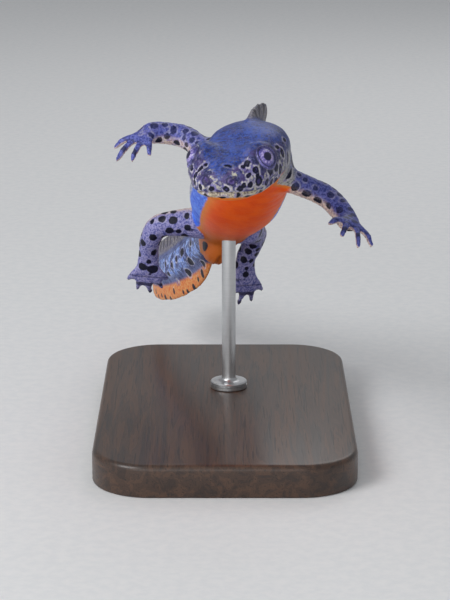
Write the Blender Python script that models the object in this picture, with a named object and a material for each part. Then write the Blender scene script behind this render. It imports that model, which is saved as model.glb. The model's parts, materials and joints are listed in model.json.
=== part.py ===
"""Alpine newt, a breeding male, as a still life-size model on a small display stand.

The animal drifts with its head level and its trunk sloping down behind it, all four limbs
spread and the tail swung to one side. Every size below is in millimetres and turns into
metres where a mesh is made. +X is the newt's left, +Y runs from snout to tail, +Z is up, and
the origin is the middle of the stand's underside.
"""

import math
from collections import namedtuple
from functools import partial

import bmesh
import bpy
from mathutils import Matrix, Vector

for leftover in list(bpy.data.objects):
    bpy.data.objects.remove(leftover)

MM = 0.001
GAP = 0.3  # the clearance that neighbouring nodes keep

# Stations are distances behind the snout tip, measured along the backbone.
NAPE = 12.2
NECK_END = 16.0
SHOULDER = 18.2
HIP = 40.0
VENT = 43.4
TAIL_ROOT = 46.4
TAIL_MIDDLE = 63.0
TAIL_TIP = 82.5

# How the head is held, and the way the backbone takes behind it.
BODY_LIFT = 21.5  # height of the backbone's datum, just under the hips, above the floor
HEAD_YAW = 18.5  # degrees that the snout turns towards the newt's right
HEAD_PITCH = -9.0
SNOUT_TIP = Vector((-0.6, -28.4, 11.4))
HEAD_AXIS_STEPS = (0.0, 5.0, 10.0)
BACKBONE_WAY = (
    (2.5, -12.1, 11.0),
    (1.3, -2.8, 5.7),
    (0.0, 7.2, 0.4),
    (-2.2, 15.5, -4.7),
    (-5.8, 23.7, -9.2),
    (-8.3, 32.9, -12.2),
    (-7.8, 43.4, -13.4),
)
# Degrees by which the left side hangs lower, at a few stations.
ROLL = ((0, -3), (10, -2), (18, 20), (40, 10), (60, 4), (90, 0))

# Half the width, and the heights above and below the backbone's line, at a few stations.
HALF_WIDTH = (
    (0, 0.5), (0.2, 1.45), (0.6, 2.3), (1.2, 2.95), (2, 3.45), (3, 3.85), (4.5, 4.05),
    (6, 4.15), (7.8, 4.12), (9.2, 3.98), (11, 3.75), (12.6, 3.65), (14.5, 3.85), (18, 4.45),
    (23, 4.85), (29, 4.9), (34, 4.4), (38, 3.6), (41, 3.05), (44, 2.45), (46.4, 2.05),
    (55, 1.5), (65, 1.05), (75, 0.65), (80, 0.42), (82.5, 0.2),
)
RISE = (
    (0, 0.3), (0.2, 0.75), (0.6, 1.2), (1.2, 1.6), (2, 1.95), (3, 2.25), (4.5, 2.5),
    (6, 2.65), (8, 2.85), (10, 2.95), (12.6, 3.0), (18, 3.15), (28, 3.3), (35, 3.1),
    (41, 2.7), (46.4, 2.35), (55, 2.0), (65, 1.5), (75, 0.95), (80, 0.5), (82.5, 0.15),
)
DROP = (
    (0, 0.35), (0.2, 0.85), (0.6, 1.35), (1.2, 1.7), (2, 2.0), (3, 2.2), (4.5, 2.4),
    (6, 2.5), (8, 2.65), (10, 2.75), (12.6, 2.85), (16, 3.05), (18, 3.25), (23, 3.6),
    (29, 3.8), (35, 3.4), (41, 2.75), (46.4, 2.35), (55, 2.0), (65, 1.5), (75, 0.95),
    (80, 0.5), (82.5, 0.15),
)
SQUARENESS = ((0, 2.2), (8, 2.4), (20, 2.2), (46, 2.0), (90, 2.0))

# Mouth, nostrils and eyes.
MOUTH_CORNER = 6.9
MOUTH_GROOVE = 0.2
# Heights of the mouth's line above the backbone's line, at a few stations.
MOUTH_LINE = ((0, -0.56), (1.7, -0.9), (3.7, -1.3), (5.5, -1.38), (6.9, -1.2))
JAW_INSET = 0.22  # how far the lower jaw stands inside the upper lip
JAW_TOP = 0.45  # where the inset begins, as a share of the depth below the backbone's line
JAW_SLOPE = 6.0  # how fast it deepens below that
NOSTRIL_STATION = 0.25
NOSTRIL_SPREAD = 1.3
NOSTRIL_HEIGHT = 0.62
NOSTRIL_RADIUS = 0.26
EYE_RADIUS = 1.22
EYE_STATION = 3.95
EYE_SPREAD = 3.1
EYE_HEIGHT = 1.42
EYE_LOOK = (0.62, 0.66, 0.42)  # forward, outward and up
EYE_OPENING = 1.13  # radius of the round gap between the lids
LID_SIZE = (1.9, 2.15, 1.9)  # half the swelling round the eye: sideways, lengthwise, upwards
LID_SINK = 0.36
SOCKET_RADIUS = 1.5
SOCKET_DEEPEST = 176.0  # degrees from the eye's axis at which the hollow closes
SOCKET_RINGS = 8
SOCKET_FLARE = (1.25, 1.5)  # how its mouth widens: times the opening, times the radius
GROOVE_POINTS = 24  # from a corner of the mouth to its front, closest together in front
GROOVE_CROWDING = 2.6
HEAD_SIDES = 40
SNOUT_RINGS = (0, 0.08, 0.22, 0.42, 0.68, 1.0, 1.4, 1.9, 2.4, 3.0)

# Trunk and tail: how many sides their sections have and how close these lie along the body,
# and the swelling round the vent.
TRUNK_SIDES = 32
TAIL_SIDES = 20
HEAD_STEP = 0.75
NECK_STEP = 0.9
TRUNK_STEP = 1.3
TAIL_STEP = 1.4
CUT_SIDES = 36  # of the wider copy of the trunk that parts a limb or the rod from it
CUT_STEP = 1.15
CUT_REACH = 6.0
VENT_SIZE = (1.75, 2.6, 1.7)  # half its width, length and depth
VENT_SINK = 0.25

# The crest on the back and the fins of the tail: heights at a few stations.
CREST_START = 9.8
CREST_TAPER = 2.5  # the length over which the crest's front end gains its thickness
CREST_HEIGHT = (
    (9.8, 0.15), (11.5, 0.6), (13.5, 1.35), (16, 2.2), (19, 2.1), (24, 1.9), (34, 1.8),
    (43, 1.5), (46.4, 1.5),
)
# How far the crest's edge leans to the left, at a few stations.
CREST_LEAN = ((9.8, -0.18), (12, -0.15), (16, 0), (20, 0.1), (28, 0.05), (34, 0))
FIN_HEIGHT = ((46.4, 1.5), (52, 1.9), (60, 2.1), (68, 1.9), (75, 1.35), (79, 0.65), (81, 0.12))
LOWER_FIN_START = 47.8
LOWER_FIN_HEIGHT = (
    (47.8, 0.5), (49.5, 1.2), (53, 1.7), (60, 1.9), (68, 1.7), (75, 1.2), (79, 0.6),
    (81, 0.12),
)
FIN_END = TAIL_TIP - 1.5
FIN_ROOT = 0.4  # half the fold's thickness, at its root and at its edge
FIN_EDGE = 0.27
FIN_SIDES = 10
FIN_STEP = 1.3

# The limbs. Each starts inside the trunk, at a share of its half width and of its depth, and
# runs through elbow or knee to the wrist or ankle and on to the knuckles.
Limb = namedtuple(
    "Limb",
    "upper_name lower_name end_name left station out down upper lower palm back radii digits",
)
ARM_RADII = ((0, 1.6), (1.6, 1.3), (5.5, 1.2), (8.5, 1.15), (11, 0.95))
LEG_RADII = ((0, 1.9), (2, 1.6), (5.5, 1.25), (8, 1.15), (11, 0.95))
# Digits run from the inner to the outer one: spread in degrees, length, and droop in degrees.
FINGERS = ((-42, 1.7, 20), (-12, 2.6, 22), (14, 3.0, 24), (42, 2.1, 20))
TOES = ((-42, 1.5, 16), (-21, 2.7, 20), (-2, 3.5, 22), (15, 3.3, 22), (35, 2.1, 16))
LIMBS = (
    Limb("upper_arm_left", "forearm_left", "hand_left", True, SHOULDER, 0.68, 0.22,
         (5.6, 1.2, -2.3), (1.7, -3.5, -2.1), (0.1, -1.8, 0.35), (0.4, 0.15, 0.85),
         ARM_RADII, FINGERS),
    Limb("upper_arm_right", "forearm_right", "hand_right", False, SHOULDER, 0.68, 0.38,
         (-3.3, 4.6, 2.0), (-3.6, -0.9, 0.2), (-1.0, -1.3, -0.45), (-0.4, -0.5, 0.7),
         ARM_RADII, FINGERS),
    Limb("thigh_left", "shank_left", "foot_left", True, HIP, 0.72, 0.25,
         (1.6, 4.6, -1.5), (-1.6, 1.6, -3.8), (0.1, -0.2, -2.3), (0.3, -0.9, 0.1),
         LEG_RADII, TOES),
    Limb("thigh_right", "shank_right", "foot_right", False, HIP, 0.72, 0.25,
         (-5.4, -0.5, 0.1), (-0.6, 2.3, -3.8), (-0.1, 0.1, -2.4), (-0.1, -0.9, 0.1),
         LEG_RADII, TOES),
)
PALM_WIDTH = 1.3
PALM_THICKNESS = 0.55
KNUCKLE_SPREAD = 0.68  # of the palm's half width, over which the digits' roots lie
DIGIT_RADIUS = 0.4
# How a palm or sole widens and thins from the wrist to the knuckles, as shares of its sizes.
PALM_RINGS = (0, 0.25, 0.45, 0.65, 0.82, 0.93, 1.0)
PALM_BROADEST = 0.6
PALM_KNUCKLES = 0.9
PALM_END_WIDTH = 0.6
PALM_END_THICKNESS = 0.3
DIGIT_OVERLAP = 0.7  # how far a digit's root lies inside the palm
# A digit's thickness along it: thicker at its root and its joint, blunt at the tip.
DIGIT_GIRTH = ((0, 1.0), (0.5, 0.92), (0.6, 0.98), (0.85, 0.75), (0.94, 0.63), (1, 0.3))
DIGIT_RINGS = (0, 0.25, 0.5, 0.62, 0.85, 0.95, 0.99)
DIGIT_BEND = 0.08  # how far its middle rises and its tip falls, as a share of its length
LIMB_STEP = 0.75
JOINT_MARGIN = 0.6  # the plain end of a limb's length, next to its cut at a joint
LIMB_SIDES = 14
PALM_SIDES = 14
DIGIT_SIDES = 8

# The stand's base plate and rod.
BASE_LENGTH = 44.0
BASE_WIDTH = 27.0
BASE_THICKNESS = 3.4
BASE_CORNER = 6.0
BASE_SOFTENING = 0.6
ROD_RADIUS = 0.75
ROD_SIDES = 20
BASE_CORNER_STEPS = 6
BASE_SOFTENING_STEPS = 2
ROD_STATION = 36.5
COLLAR_RADIUS = 2.0
COLLAR_HEIGHT = 0.8

Frame = namedtuple("Frame", "at along side back")


def smooth_curve(keys):
    """A function that runs smoothly, and without overshoot, through (place, value) keys."""
    places, values = zip(*keys)
    rises = [
        (values[i + 1] - values[i]) / (places[i + 1] - places[i])
        for i in range(len(keys) - 1)
    ]
    slopes = [rises[0]]
    for before, after in zip(rises, rises[1:]):
        same_way = before * after > 0
        slopes.append(2 * before * after / (before + after) if same_way else 0.0)
    slopes.append(rises[-1])

    def value(place):
        place = min(max(place, places[0]), places[-1])
        i = max(j for j in range(len(places) - 1) if places[j] <= place)
        span = places[i + 1] - places[i]
        t = (place - places[i]) / span
        return (
            values[i] * (1 + 2 * t) * (1 - t) ** 2
            + slopes[i] * span * t * (1 - t) ** 2
            + values[i + 1] * t * t * (3 - 2 * t)
            - slopes[i + 1] * span * t * t * (1 - t)
        )

    return value


half_width = smooth_curve(HALF_WIDTH)
rise = smooth_curve(RISE)
drop = smooth_curve(DROP)
squareness = smooth_curve(SQUARENESS)
roll = smooth_curve(ROLL)
mouth_line = smooth_curve(MOUTH_LINE)
crest_lean = smooth_curve(CREST_LEAN)


class Way:
    """A smooth line through points, read by distance along it, with a frame at each place."""

    STEPS = 24

    def __init__(self, points, end_back=None):
        points = [Vector(p) for p in points]
        ends = [points[0] * 2 - points[1], *points, points[-1] * 2 - points[-2]]
        self.dots = [points[0]]
        for a, b, c, d in zip(ends, ends[1:], ends[2:], ends[3:]):
            for step in range(1, self.STEPS + 1):
                t = step / self.STEPS
                bend = (a * 2 - b * 5 + c * 4 - d) * t * t + (b * 3 - a - c * 3 + d) * t**3
                self.dots.append(0.5 * (b * 2 + (c - a) * t + bend))
        self.far = [0.0]
        for a, b in zip(self.dots, self.dots[1:]):
            self.far.append(self.far[-1] + (b - a).length)
        self.length = self.far[-1]
        last = len(self.dots) - 1
        self.heads = [
            (self.dots[min(i + 1, last)] - self.dots[max(i - 1, 0)]).normalized()
            for i in range(last + 1)
        ]
        self.backs = None
        if end_back is not None:
            # Carried from the end to the start with the least twist.
            back = Vector(end_back)
            self.backs = [None] * (last + 1)
            for i in range(last, -1, -1):
                back = (back - self.heads[i] * back.dot(self.heads[i])).normalized()
                self.backs[i] = back

    def frame(self, distance):
        distance = min(max(distance, 0.0), self.length)
        i = max(j for j in range(len(self.far) - 1) if self.far[j] <= distance)
        t = (distance - self.far[i]) / (self.far[i + 1] - self.far[i])
        at = self.dots[i].lerp(self.dots[i + 1], t)
        along = self.heads[i].lerp(self.heads[i + 1], t).normalized()
        if self.backs is None:
            side = along.cross(Vector((0, 0, 1))).normalized()
            back = side.cross(along)
            lean = math.radians(roll(distance))
            leaned = back * math.cos(lean) + side * math.sin(lean)
            return Frame(at, along, along.cross(leaned), leaned)
        back = self.backs[i].lerp(self.backs[i + 1], t)
        side = along.cross(back).normalized()
        return Frame(at, along, side, side.cross(along))


def backbone():
    yaw, pitch = math.radians(HEAD_YAW), math.radians(HEAD_PITCH)
    forward = Vector(
        (-math.sin(yaw) * math.cos(pitch), -math.cos(yaw) * math.cos(pitch), math.sin(pitch))
    )
    head = [SNOUT_TIP - forward * step for step in HEAD_AXIS_STEPS]
    lift = Vector((0, 0, BODY_LIFT))
    return Way([p + lift for p in (*head, *(Vector(p) for p in BACKBONE_WAY))])


SPINE = backbone()


def rounded(turn, width, up, down, power):
    """A point of a rounded section, at an angle round it."""
    c, s = math.cos(turn), math.sin(turn)
    x = math.copysign(abs(c) ** (2 / power), c) * width
    z = math.copysign(abs(s) ** (2 / power), s) * (up if s > 0 else down)
    return x, z, 0.0


def round_ring(frame, radius):
    return frame, lambda turn: rounded(turn, radius, radius, radius, 2)


def flat_oval(width, depth, turn):
    return rounded(turn, width, depth, depth, 2.3)


def moved(frame, distance):
    return frame._replace(at=frame.at + frame.along * distance)


def loft(name, rings, sides):
    """A closed skin over rings, each a frame and a function from angle to (side, back, along)."""
    bm = bmesh.new()
    turn = bm.verts.layers.float.new("turn")
    verts = bmesh.ops.create_circle(bm, segments=sides, radius=1)["verts"]
    for i, v in enumerate(verts):
        v[turn] = 2 * math.pi * i / sides
    edges = bm.edges[:]
    bmesh.ops.edgeloop_fill(bm, edges=edges)
    for number, (frame, shape) in enumerate(rings):
        if number:
            grown = bmesh.ops.extrude_edge_only(bm, edges=edges)["geom"]
            verts = [g for g in grown if isinstance(g, bmesh.types.BMVert)]
            edges = [g for g in grown if isinstance(g, bmesh.types.BMEdge)]
        for v in verts:
            x, z, y = shape(v[turn])
            v.co = (frame.at + frame.side * x + frame.back * z + frame.along * y) * MM
        if number:
            split_alike(bm, verts, turn)
    bmesh.ops.edgeloop_fill(bm, edges=edges)
    bmesh.ops.recalc_face_normals(bm, faces=bm.faces[:])
    if bm.calc_volume(signed=True) < 0:
        bmesh.ops.reverse_faces(bm, faces=bm.faces[:])
    return finished(name, bm)


def split_alike(bm, newest, turn):
    """Splits the newest strip of four-sided faces the same way on the left and on the right."""
    newest = set(newest)
    for face in {f for v in newest for f in v.link_faces if len(f.verts) == 4}:
        old = max((v for v in face.verts if v not in newest), key=lambda v: math.sin(v[turn]))
        new = min((v for v in face.verts if v in newest), key=lambda v: math.sin(v[turn]))
        if not bm.edges.get((old, new)):
            bmesh.ops.connect_verts(bm, verts=[old, new])


def finished(name, bm):
    mesh = bpy.data.meshes.new(name)
    bm.to_mesh(mesh)
    bm.free()
    made = bpy.data.objects.new(name, mesh)
    bpy.context.scene.collection.objects.link(made)
    return made


def largest_body(mesh):
    """Leaves only the largest closed surface of a mesh."""
    bm = bmesh.new()
    bm.from_mesh(mesh)
    unseen = set(bm.faces)
    bodies = []
    while unseen:
        body = {unseen.pop()}
        edge_of = list(body)
        while edge_of:
            near = {g for e in edge_of.pop().edges for g in e.link_faces} & unseen
            unseen -= near
            body |= near
            edge_of.extend(near)
        bodies.append(body)
    bodies.sort(key=lambda body: sum(f.calc_area() for f in body))
    scraps = [f for body in bodies[:-1] for f in body]
    bmesh.ops.delete(bm, geom=scraps, context="FACES")
    loose = [v for v in bm.verts if not v.link_faces]
    bmesh.ops.delete(bm, geom=loose, context="VERTS")
    bm.to_mesh(mesh)
    bm.free()


def combined(body, others, operation):
    """Joins the others to body, or cuts them from it, and removes them."""
    group = bpy.data.collections.new(body.name + "_" + operation.lower())
    bpy.context.scene.collection.children.link(group)
    for other in others:
        group.objects.link(other)
    modifier = body.modifiers.new(operation.lower(), "BOOLEAN")
    modifier.operation = operation
    modifier.operand_type = "COLLECTION"
    modifier.collection = group
    modifier.solver = "EXACT"
    bpy.context.view_layer.update()
    graph = bpy.context.evaluated_depsgraph_get()
    body.data = bpy.data.meshes.new_from_object(body.evaluated_get(graph))
    body.modifiers.clear()
    largest_body(body.data)
    for other in list(others):
        bpy.data.objects.remove(other)
    bpy.data.collections.remove(group)
    return body


def ball(name, centre, radius, across=18, up=10):
    bm = bmesh.new()
    bmesh.ops.create_uvsphere(bm, u_segments=across, v_segments=up, radius=radius * MM)
    bmesh.ops.translate(bm, verts=bm.verts[:], vec=centre * MM)
    return finished(name, bm)


def egg(name, centre, frame, size, across=22, up=14):
    """A ball stretched along a frame's side, length and back."""
    bm = bmesh.new()
    bmesh.ops.create_uvsphere(bm, u_segments=across, v_segments=up, radius=MM)
    bmesh.ops.scale(bm, verts=bm.verts[:], vec=size)
    turned = Matrix((frame.side, frame.along, frame.back)).transposed().to_4x4()
    place = Matrix.Translation(centre * MM) @ turned
    bmesh.ops.transform(bm, verts=bm.verts[:], matrix=place)
    return finished(name, bm)


def material(name, colour, roughness, metallic=0.0):
    made = bpy.data.materials.new(name)
    made.use_nodes = True
    shader = made.node_tree.nodes["Principled BSDF"]
    shader.inputs["Base Color"].default_value = (*colour, 1)
    shader.inputs["Roughness"].default_value = roughness
    shader.inputs["Metallic"].default_value = metallic
    return made


SKIN_BLUE = material("skin_blue", (0.075, 0.105, 0.30), 0.35)
BELLY_ORANGE = material("belly_orange", (0.70, 0.12, 0.02), 0.35)
LIMB_SKIN = material("limb_skin", (0.12, 0.13, 0.29), 0.4)
TAIL_SKIN = material("tail_skin", (0.13, 0.19, 0.42), 0.35)
FIN_SKIN = material("fin_skin", (0.42, 0.40, 0.34), 0.4)
EYE_DARK = material("eye_dark", (0.02, 0.02, 0.07), 0.08)
STAND_WOOD = material("stand_wood", (0.055, 0.045, 0.04), 0.45)
STAND_STEEL = material("stand_steel", (0.55, 0.55, 0.56), 0.3, 1.0)


def dressed(node, finish):
    node.data.materials.clear()
    node.data.materials.append(finish)
    node.data.shade_smooth()
    node.data.set_sharp_from_angle(angle=math.radians(40))
    return node


def stations(start, end, longest_step):
    count = max(1, math.ceil((end - start) / longest_step))
    return [start + (end - start) * i / count for i in range(count + 1)]


def body_ring(station, spare=0.0):
    frame = SPINE.frame(station)
    sizes = (half_width(station), rise(station), drop(station))
    width, up, down = (size + spare for size in sizes)
    power = squareness(station)
    return frame, lambda turn: rounded(turn, width, up, down, power)


def body_length(name, start, end, sides, longest_step, spare=0.0):
    return loft(name, [body_ring(s, spare) for s in stations(start, end, longest_step)], sides)


def trunk_room(station):
    """The trunk near a station and the gap round it, to be cut from what comes up to it."""
    start, end = station - CUT_REACH, station + CUT_REACH
    return body_length("room", start, end, CUT_SIDES, CUT_STEP, GAP)


def body_out(station, up):
    """How far out the body's surface lies, at a height above or below its line."""
    share = abs(up) / (rise(station) if up > 0 else drop(station))
    power = squareness(station)
    return half_width(station) * max(0.0, 1 - share**power) ** (1 / power)


# The head: a broad flat wedge with a round snout. The lower jaw stands a little inside the
# upper lip, a groove marks the line of the mouth, and each eye sits in a raised rim of lid.
def head_ring(station):
    frame, plain = body_ring(station)
    fade = max(0.0, 1 - station / MOUTH_CORNER) ** 0.5

    def shape(turn):
        x, z, along = plain(turn)
        under = min(1.0, max(0.0, -math.sin(turn) - JAW_TOP) * JAW_SLOPE) * fade
        side_share = abs(math.cos(turn))
        x -= math.copysign(JAW_INSET * under * side_share, x)
        return x, z, along + JAW_INSET * under * max(0.0, 1 - station)

    return frame, shape


def on_head(station, out, up, left):
    """A point beside the head's axis, on the newt's left or right."""
    frame = SPINE.frame(station)
    return frame.at + frame.side * (out if left else -out) + frame.back * up


def eye_axis(left):
    frame = SPINE.frame(EYE_STATION)
    forward, out, up = EYE_LOOK
    look = frame.side * (out if left else -out) + frame.back * up - frame.along * forward
    return look.normalized()


def eye_centre(left):
    return on_head(EYE_STATION, EYE_SPREAD, EYE_HEIGHT, left)


def socket_cutter(left):
    """The round hollow that the eye lies in, with an opening that flares out past the lids."""
    look = eye_axis(left)
    side = look.cross(SPINE.frame(EYE_STATION).back).normalized()
    deepest = math.radians(SOCKET_DEEPEST)
    rim = math.asin(EYE_OPENING / SOCKET_RADIUS)
    outline = []
    for step in range(SOCKET_RINGS + 1):
        turn = deepest + (rim - deepest) * step / SOCKET_RINGS
        outline.append((SOCKET_RADIUS * math.sin(turn), SOCKET_RADIUS * math.cos(turn)))
    flare_out, flare_up = SOCKET_FLARE
    outline.append((EYE_OPENING * flare_out, SOCKET_RADIUS * flare_up))
    rings = []
    for girth, reach in outline:
        place = Frame(eye_centre(left) + look * reach, look, side, side.cross(look))
        rings.append(round_ring(place, girth))
    return loft("socket_cutter", rings, 22)


def mouth_cutter():
    """A thin tube laid along the mouth, from one corner round the snout to the other."""
    front = next(s for s in stations(0, 1, 0.01) if drop(s) > -mouth_line(s))
    shares = [(i / GROOVE_POINTS) ** GROOVE_CROWDING for i in range(GROOVE_POINTS, -1, -1)]
    backwards = [front + (MOUTH_CORNER - front) * share for share in shares]
    points = []
    for left, order in ((True, backwards), (False, backwards[-2::-1])):
        for s in order:
            inset = JAW_INSET / 2 * (1 - s / MOUTH_CORNER)
            out = max(0.0, body_out(s, mouth_line(s)) - inset)
            points.append(on_head(s + inset * max(0.0, 1 - s), out, mouth_line(s), left))
    way = Way(points, end_back=SPINE.frame(4).back)
    rings = [round_ring(way.frame(d), MOUTH_GROOVE) for d in stations(0, way.length, 0.4)]
    return loft("mouth_cutter", rings, 6)


def nostril_cutter(left):
    spot = on_head(NOSTRIL_STATION, NOSTRIL_SPREAD, NOSTRIL_HEIGHT, left)
    return ball("nostril_cutter", spot, NOSTRIL_RADIUS, 10, 6)


head_rings = [head_ring(s) for s in SNOUT_RINGS]
head_rings += [head_ring(s) for s in stations(SNOUT_RINGS[-1], NAPE - GAP / 2, HEAD_STEP)[1:]]
head = loft("head", head_rings, HEAD_SIDES)
sides = (True, False)
lid_swellings = [
    egg("lid", eye_centre(left) - eye_axis(left) * LID_SINK, SPINE.frame(EYE_STATION), LID_SIZE)
    for left in sides
]
combined(head, lid_swellings, "UNION")
head_cutters = [mouth_cutter()]
head_cutters += [cutter(left) for cutter in (socket_cutter, nostril_cutter) for left in sides]
combined(head, head_cutters, "DIFFERENCE")
dressed(head, SKIN_BLUE)

for left, side_name in zip(sides, ("left", "right")):
    dressed(ball("eye_" + side_name, eye_centre(left), EYE_RADIUS), EYE_DARK)

# Neck, trunk and tail: one smooth body parted by thin cuts.
neck = body_length("neck", NAPE + GAP / 2, NECK_END - GAP / 2, TRUNK_SIDES, NECK_STEP)
dressed(neck, BELLY_ORANGE)

torso = body_length(
    "torso", NECK_END + GAP / 2, TAIL_ROOT - GAP / 2, TRUNK_SIDES, TRUNK_STEP
)

# The dome of swollen skin round the vent, under the root of the tail.
vent_frame = SPINE.frame(VENT)
vent_centre = vent_frame.at - vent_frame.back * (drop(VENT) - VENT_SINK)
combined(torso, [egg("vent", vent_centre, vent_frame, VENT_SIZE, 18, 12)], "UNION")
dressed(torso, SKIN_BLUE)

for name, start, end in (
    ("tail_front", TAIL_ROOT + GAP / 2, TAIL_MIDDLE - GAP / 2),
    ("tail_rear", TAIL_MIDDLE + GAP / 2, TAIL_TIP),
):
    dressed(body_length(name, start, end, TAIL_SIDES, TAIL_STEP), TAIL_SKIN)

# The low crest on the back and the fins above and below the tail: thin upright folds of skin
# that stand on the body and follow its curve.


def fold_ring(station, base, height, upwards):
    frame = SPINE.frame(station)
    way = 1 if upwards else -1
    lean = crest_lean(station) if upwards else 0.0
    fullness = min(1.0, 0.35 + 0.65 * (station - CREST_START) / CREST_TAPER)

    def shape(turn):
        share = (1 + math.sin(turn)) / 2
        thick = (FIN_ROOT + (FIN_EDGE - FIN_ROOT) * share) * fullness
        x = math.copysign(thick, math.cos(turn)) if abs(math.cos(turn)) > 0.01 else 0.0
        return x + lean * share, way * (base + height * share), 0.0

    return frame, shape


def fold(name, start, end, heights, upwards, finish):
    body = rise if upwards else drop
    height = smooth_curve(heights)
    rings = [
        fold_ring(s, body(s) + GAP, height(s), upwards) for s in stations(start, end, FIN_STEP)
    ]
    return dressed(loft(name, rings, FIN_SIDES), finish)


fold("crest", CREST_START, TAIL_ROOT - GAP / 2, CREST_HEIGHT, True, FIN_SKIN)
fold("tail_fin_upper", TAIL_ROOT + GAP / 2, FIN_END, FIN_HEIGHT, True, FIN_SKIN)
fold("tail_fin_lower", LOWER_FIN_START, FIN_END, LOWER_FIN_HEIGHT, False, BELLY_ORANGE)

# The limbs: slim legs bent at elbow or knee, in an upper and a lower length, and the palm or
# sole with its digits.


def limb_way(limb):
    """The limb's middle line, rounded at its joints, and the distances of its joints."""
    frame = SPINE.frame(limb.station)
    out = limb.out * half_width(limb.station) * (1 if limb.left else -1)
    root = frame.at + frame.side * out - frame.back * limb.down * drop(limb.station)
    bend = root + Vector(limb.upper)
    wrist = bend + Vector(limb.lower)
    knuckles = wrist + Vector(limb.palm)
    points = [root, root.lerp(bend, 0.5)]
    points += [bend.lerp(root, 0.22).lerp(bend.lerp(wrist, 0.26), 0.5)]
    points += [bend.lerp(wrist, 0.6), wrist.lerp(bend, 0.1), knuckles]
    way = Way(points, end_back=limb.back)

    def nearest(spot):
        return min(zip(way.dots, way.far), key=lambda pair: (pair[0] - spot).length)[1]

    return way, nearest(bend), nearest(wrist)


def digit(root, heading, back, length, number):
    """One finger or toe: a slim tapered cone with a soft bend and a blunt round tip."""
    middle = root + heading * length / 2 + back * length * DIGIT_BEND
    tip = root + heading * length - back * length * DIGIT_BEND
    way = Way([root, middle, tip], end_back=back)
    girth = smooth_curve(DIGIT_GIRTH)
    rings = []
    for share in DIGIT_RINGS:
        rings.append(round_ring(way.frame(share * way.length), DIGIT_RADIUS * girth(share)))
    return loft(f"digit_{number}", rings, DIGIT_SIDES)


def hand_or_foot(limb, way, wrist_far):
    """The flat palm or sole, and its digits fanned out from the knuckles."""
    wrist_radius = smooth_curve(limb.radii)(wrist_far)
    wide, deep = (
        smooth_curve(((0, wrist_radius), (PALM_BROADEST, size), (PALM_KNUCKLES, size * 0.9), (1, end)))
        for size, end in (
            (PALM_WIDTH, PALM_WIDTH * PALM_END_WIDTH), (PALM_THICKNESS, PALM_END_THICKNESS)
        )
    )
    rings = []
    for share in PALM_RINGS:
        frame = way.frame(wrist_far + (way.length - wrist_far) * share)
        shape = partial(flat_oval, wide(share), deep(share))
        rings.append((frame if share else moved(frame, GAP / 2), shape))
    palm = loft(limb.end_name, rings, PALM_SIDES)
    knuckle = way.frame(way.length)
    outward = -knuckle.side if limb.left else knuckle.side
    fingers = []
    for number, (spread, length, droop) in enumerate(limb.digits):
        share = number / (len(limb.digits) - 1) * 2 - 1
        aside = share * PALM_WIDTH * KNUCKLE_SPREAD
        root = knuckle.at - knuckle.along * DIGIT_OVERLAP + outward * aside
        angle, fall = math.radians(spread), math.radians(droop)
        heading = knuckle.along * math.cos(angle) + outward * math.sin(angle)
        heading = heading * math.cos(fall) - knuckle.back * math.sin(fall)
        fingers.append(digit(root, heading, knuckle.back, length + DIGIT_OVERLAP, number))
    combined(palm, fingers, "UNION")
    return dressed(palm, LIMB_SKIN)


def limb_length(name, way, radii, start, end, start_gap=0.0):
    """A length of limb whose cut ends lie square to the limb's line at its joints."""
    rings = [round_ring(moved(way.frame(start), start_gap), radii(start))]
    for far in stations(start + JOINT_MARGIN, end - JOINT_MARGIN, LIMB_STEP):
        rings.append(round_ring(way.frame(far), radii(far)))
    rings.append(round_ring(moved(way.frame(end), -GAP / 2), radii(end)))
    return loft(name, rings, LIMB_SIDES)


for limb in LIMBS:
    way, bend_far, wrist_far = limb_way(limb)
    radii = smooth_curve(limb.radii)
    upper = limb_length(limb.upper_name, way, radii, 0, bend_far)
    dressed(combined(upper, [trunk_room(limb.station)], "DIFFERENCE"), LIMB_SKIN)
    dressed(limb_length(limb.lower_name, way, radii, bend_far, wrist_far, GAP / 2), LIMB_SKIN)
    hand_or_foot(limb, way, wrist_far)

# The stand: a flat plate with rounded corners and softened edges, and an upright steel rod
# with a small collar, shaped at the top to the belly that it carries.


def stand_base():
    bm = bmesh.new()
    bmesh.ops.create_cube(bm, size=1)
    size = Vector((BASE_WIDTH, BASE_LENGTH, BASE_THICKNESS)) * MM
    bmesh.ops.scale(bm, verts=bm.verts[:], vec=size)
    bmesh.ops.translate(bm, verts=bm.verts[:], vec=(0, 0, BASE_THICKNESS / 2 * MM))
    upright = [e for e in bm.edges if abs(e.verts[0].co.z - e.verts[1].co.z) > MM]
    bmesh.ops.bevel(bm, geom=upright, offset=BASE_CORNER * MM, segments=BASE_CORNER_STEPS, profile=0.5,
                    affect="EDGES", material=-1)
    rim = [e for e in bm.edges if min(v.co.z for v in e.verts) > BASE_THICKNESS * MM * 0.99]
    bmesh.ops.bevel(bm, geom=rim, offset=BASE_SOFTENING * MM, segments=BASE_SOFTENING_STEPS, profile=0.5,
                    affect="EDGES", material=-1)
    return dressed(finished("stand_base", bm), STAND_WOOD)


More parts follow.
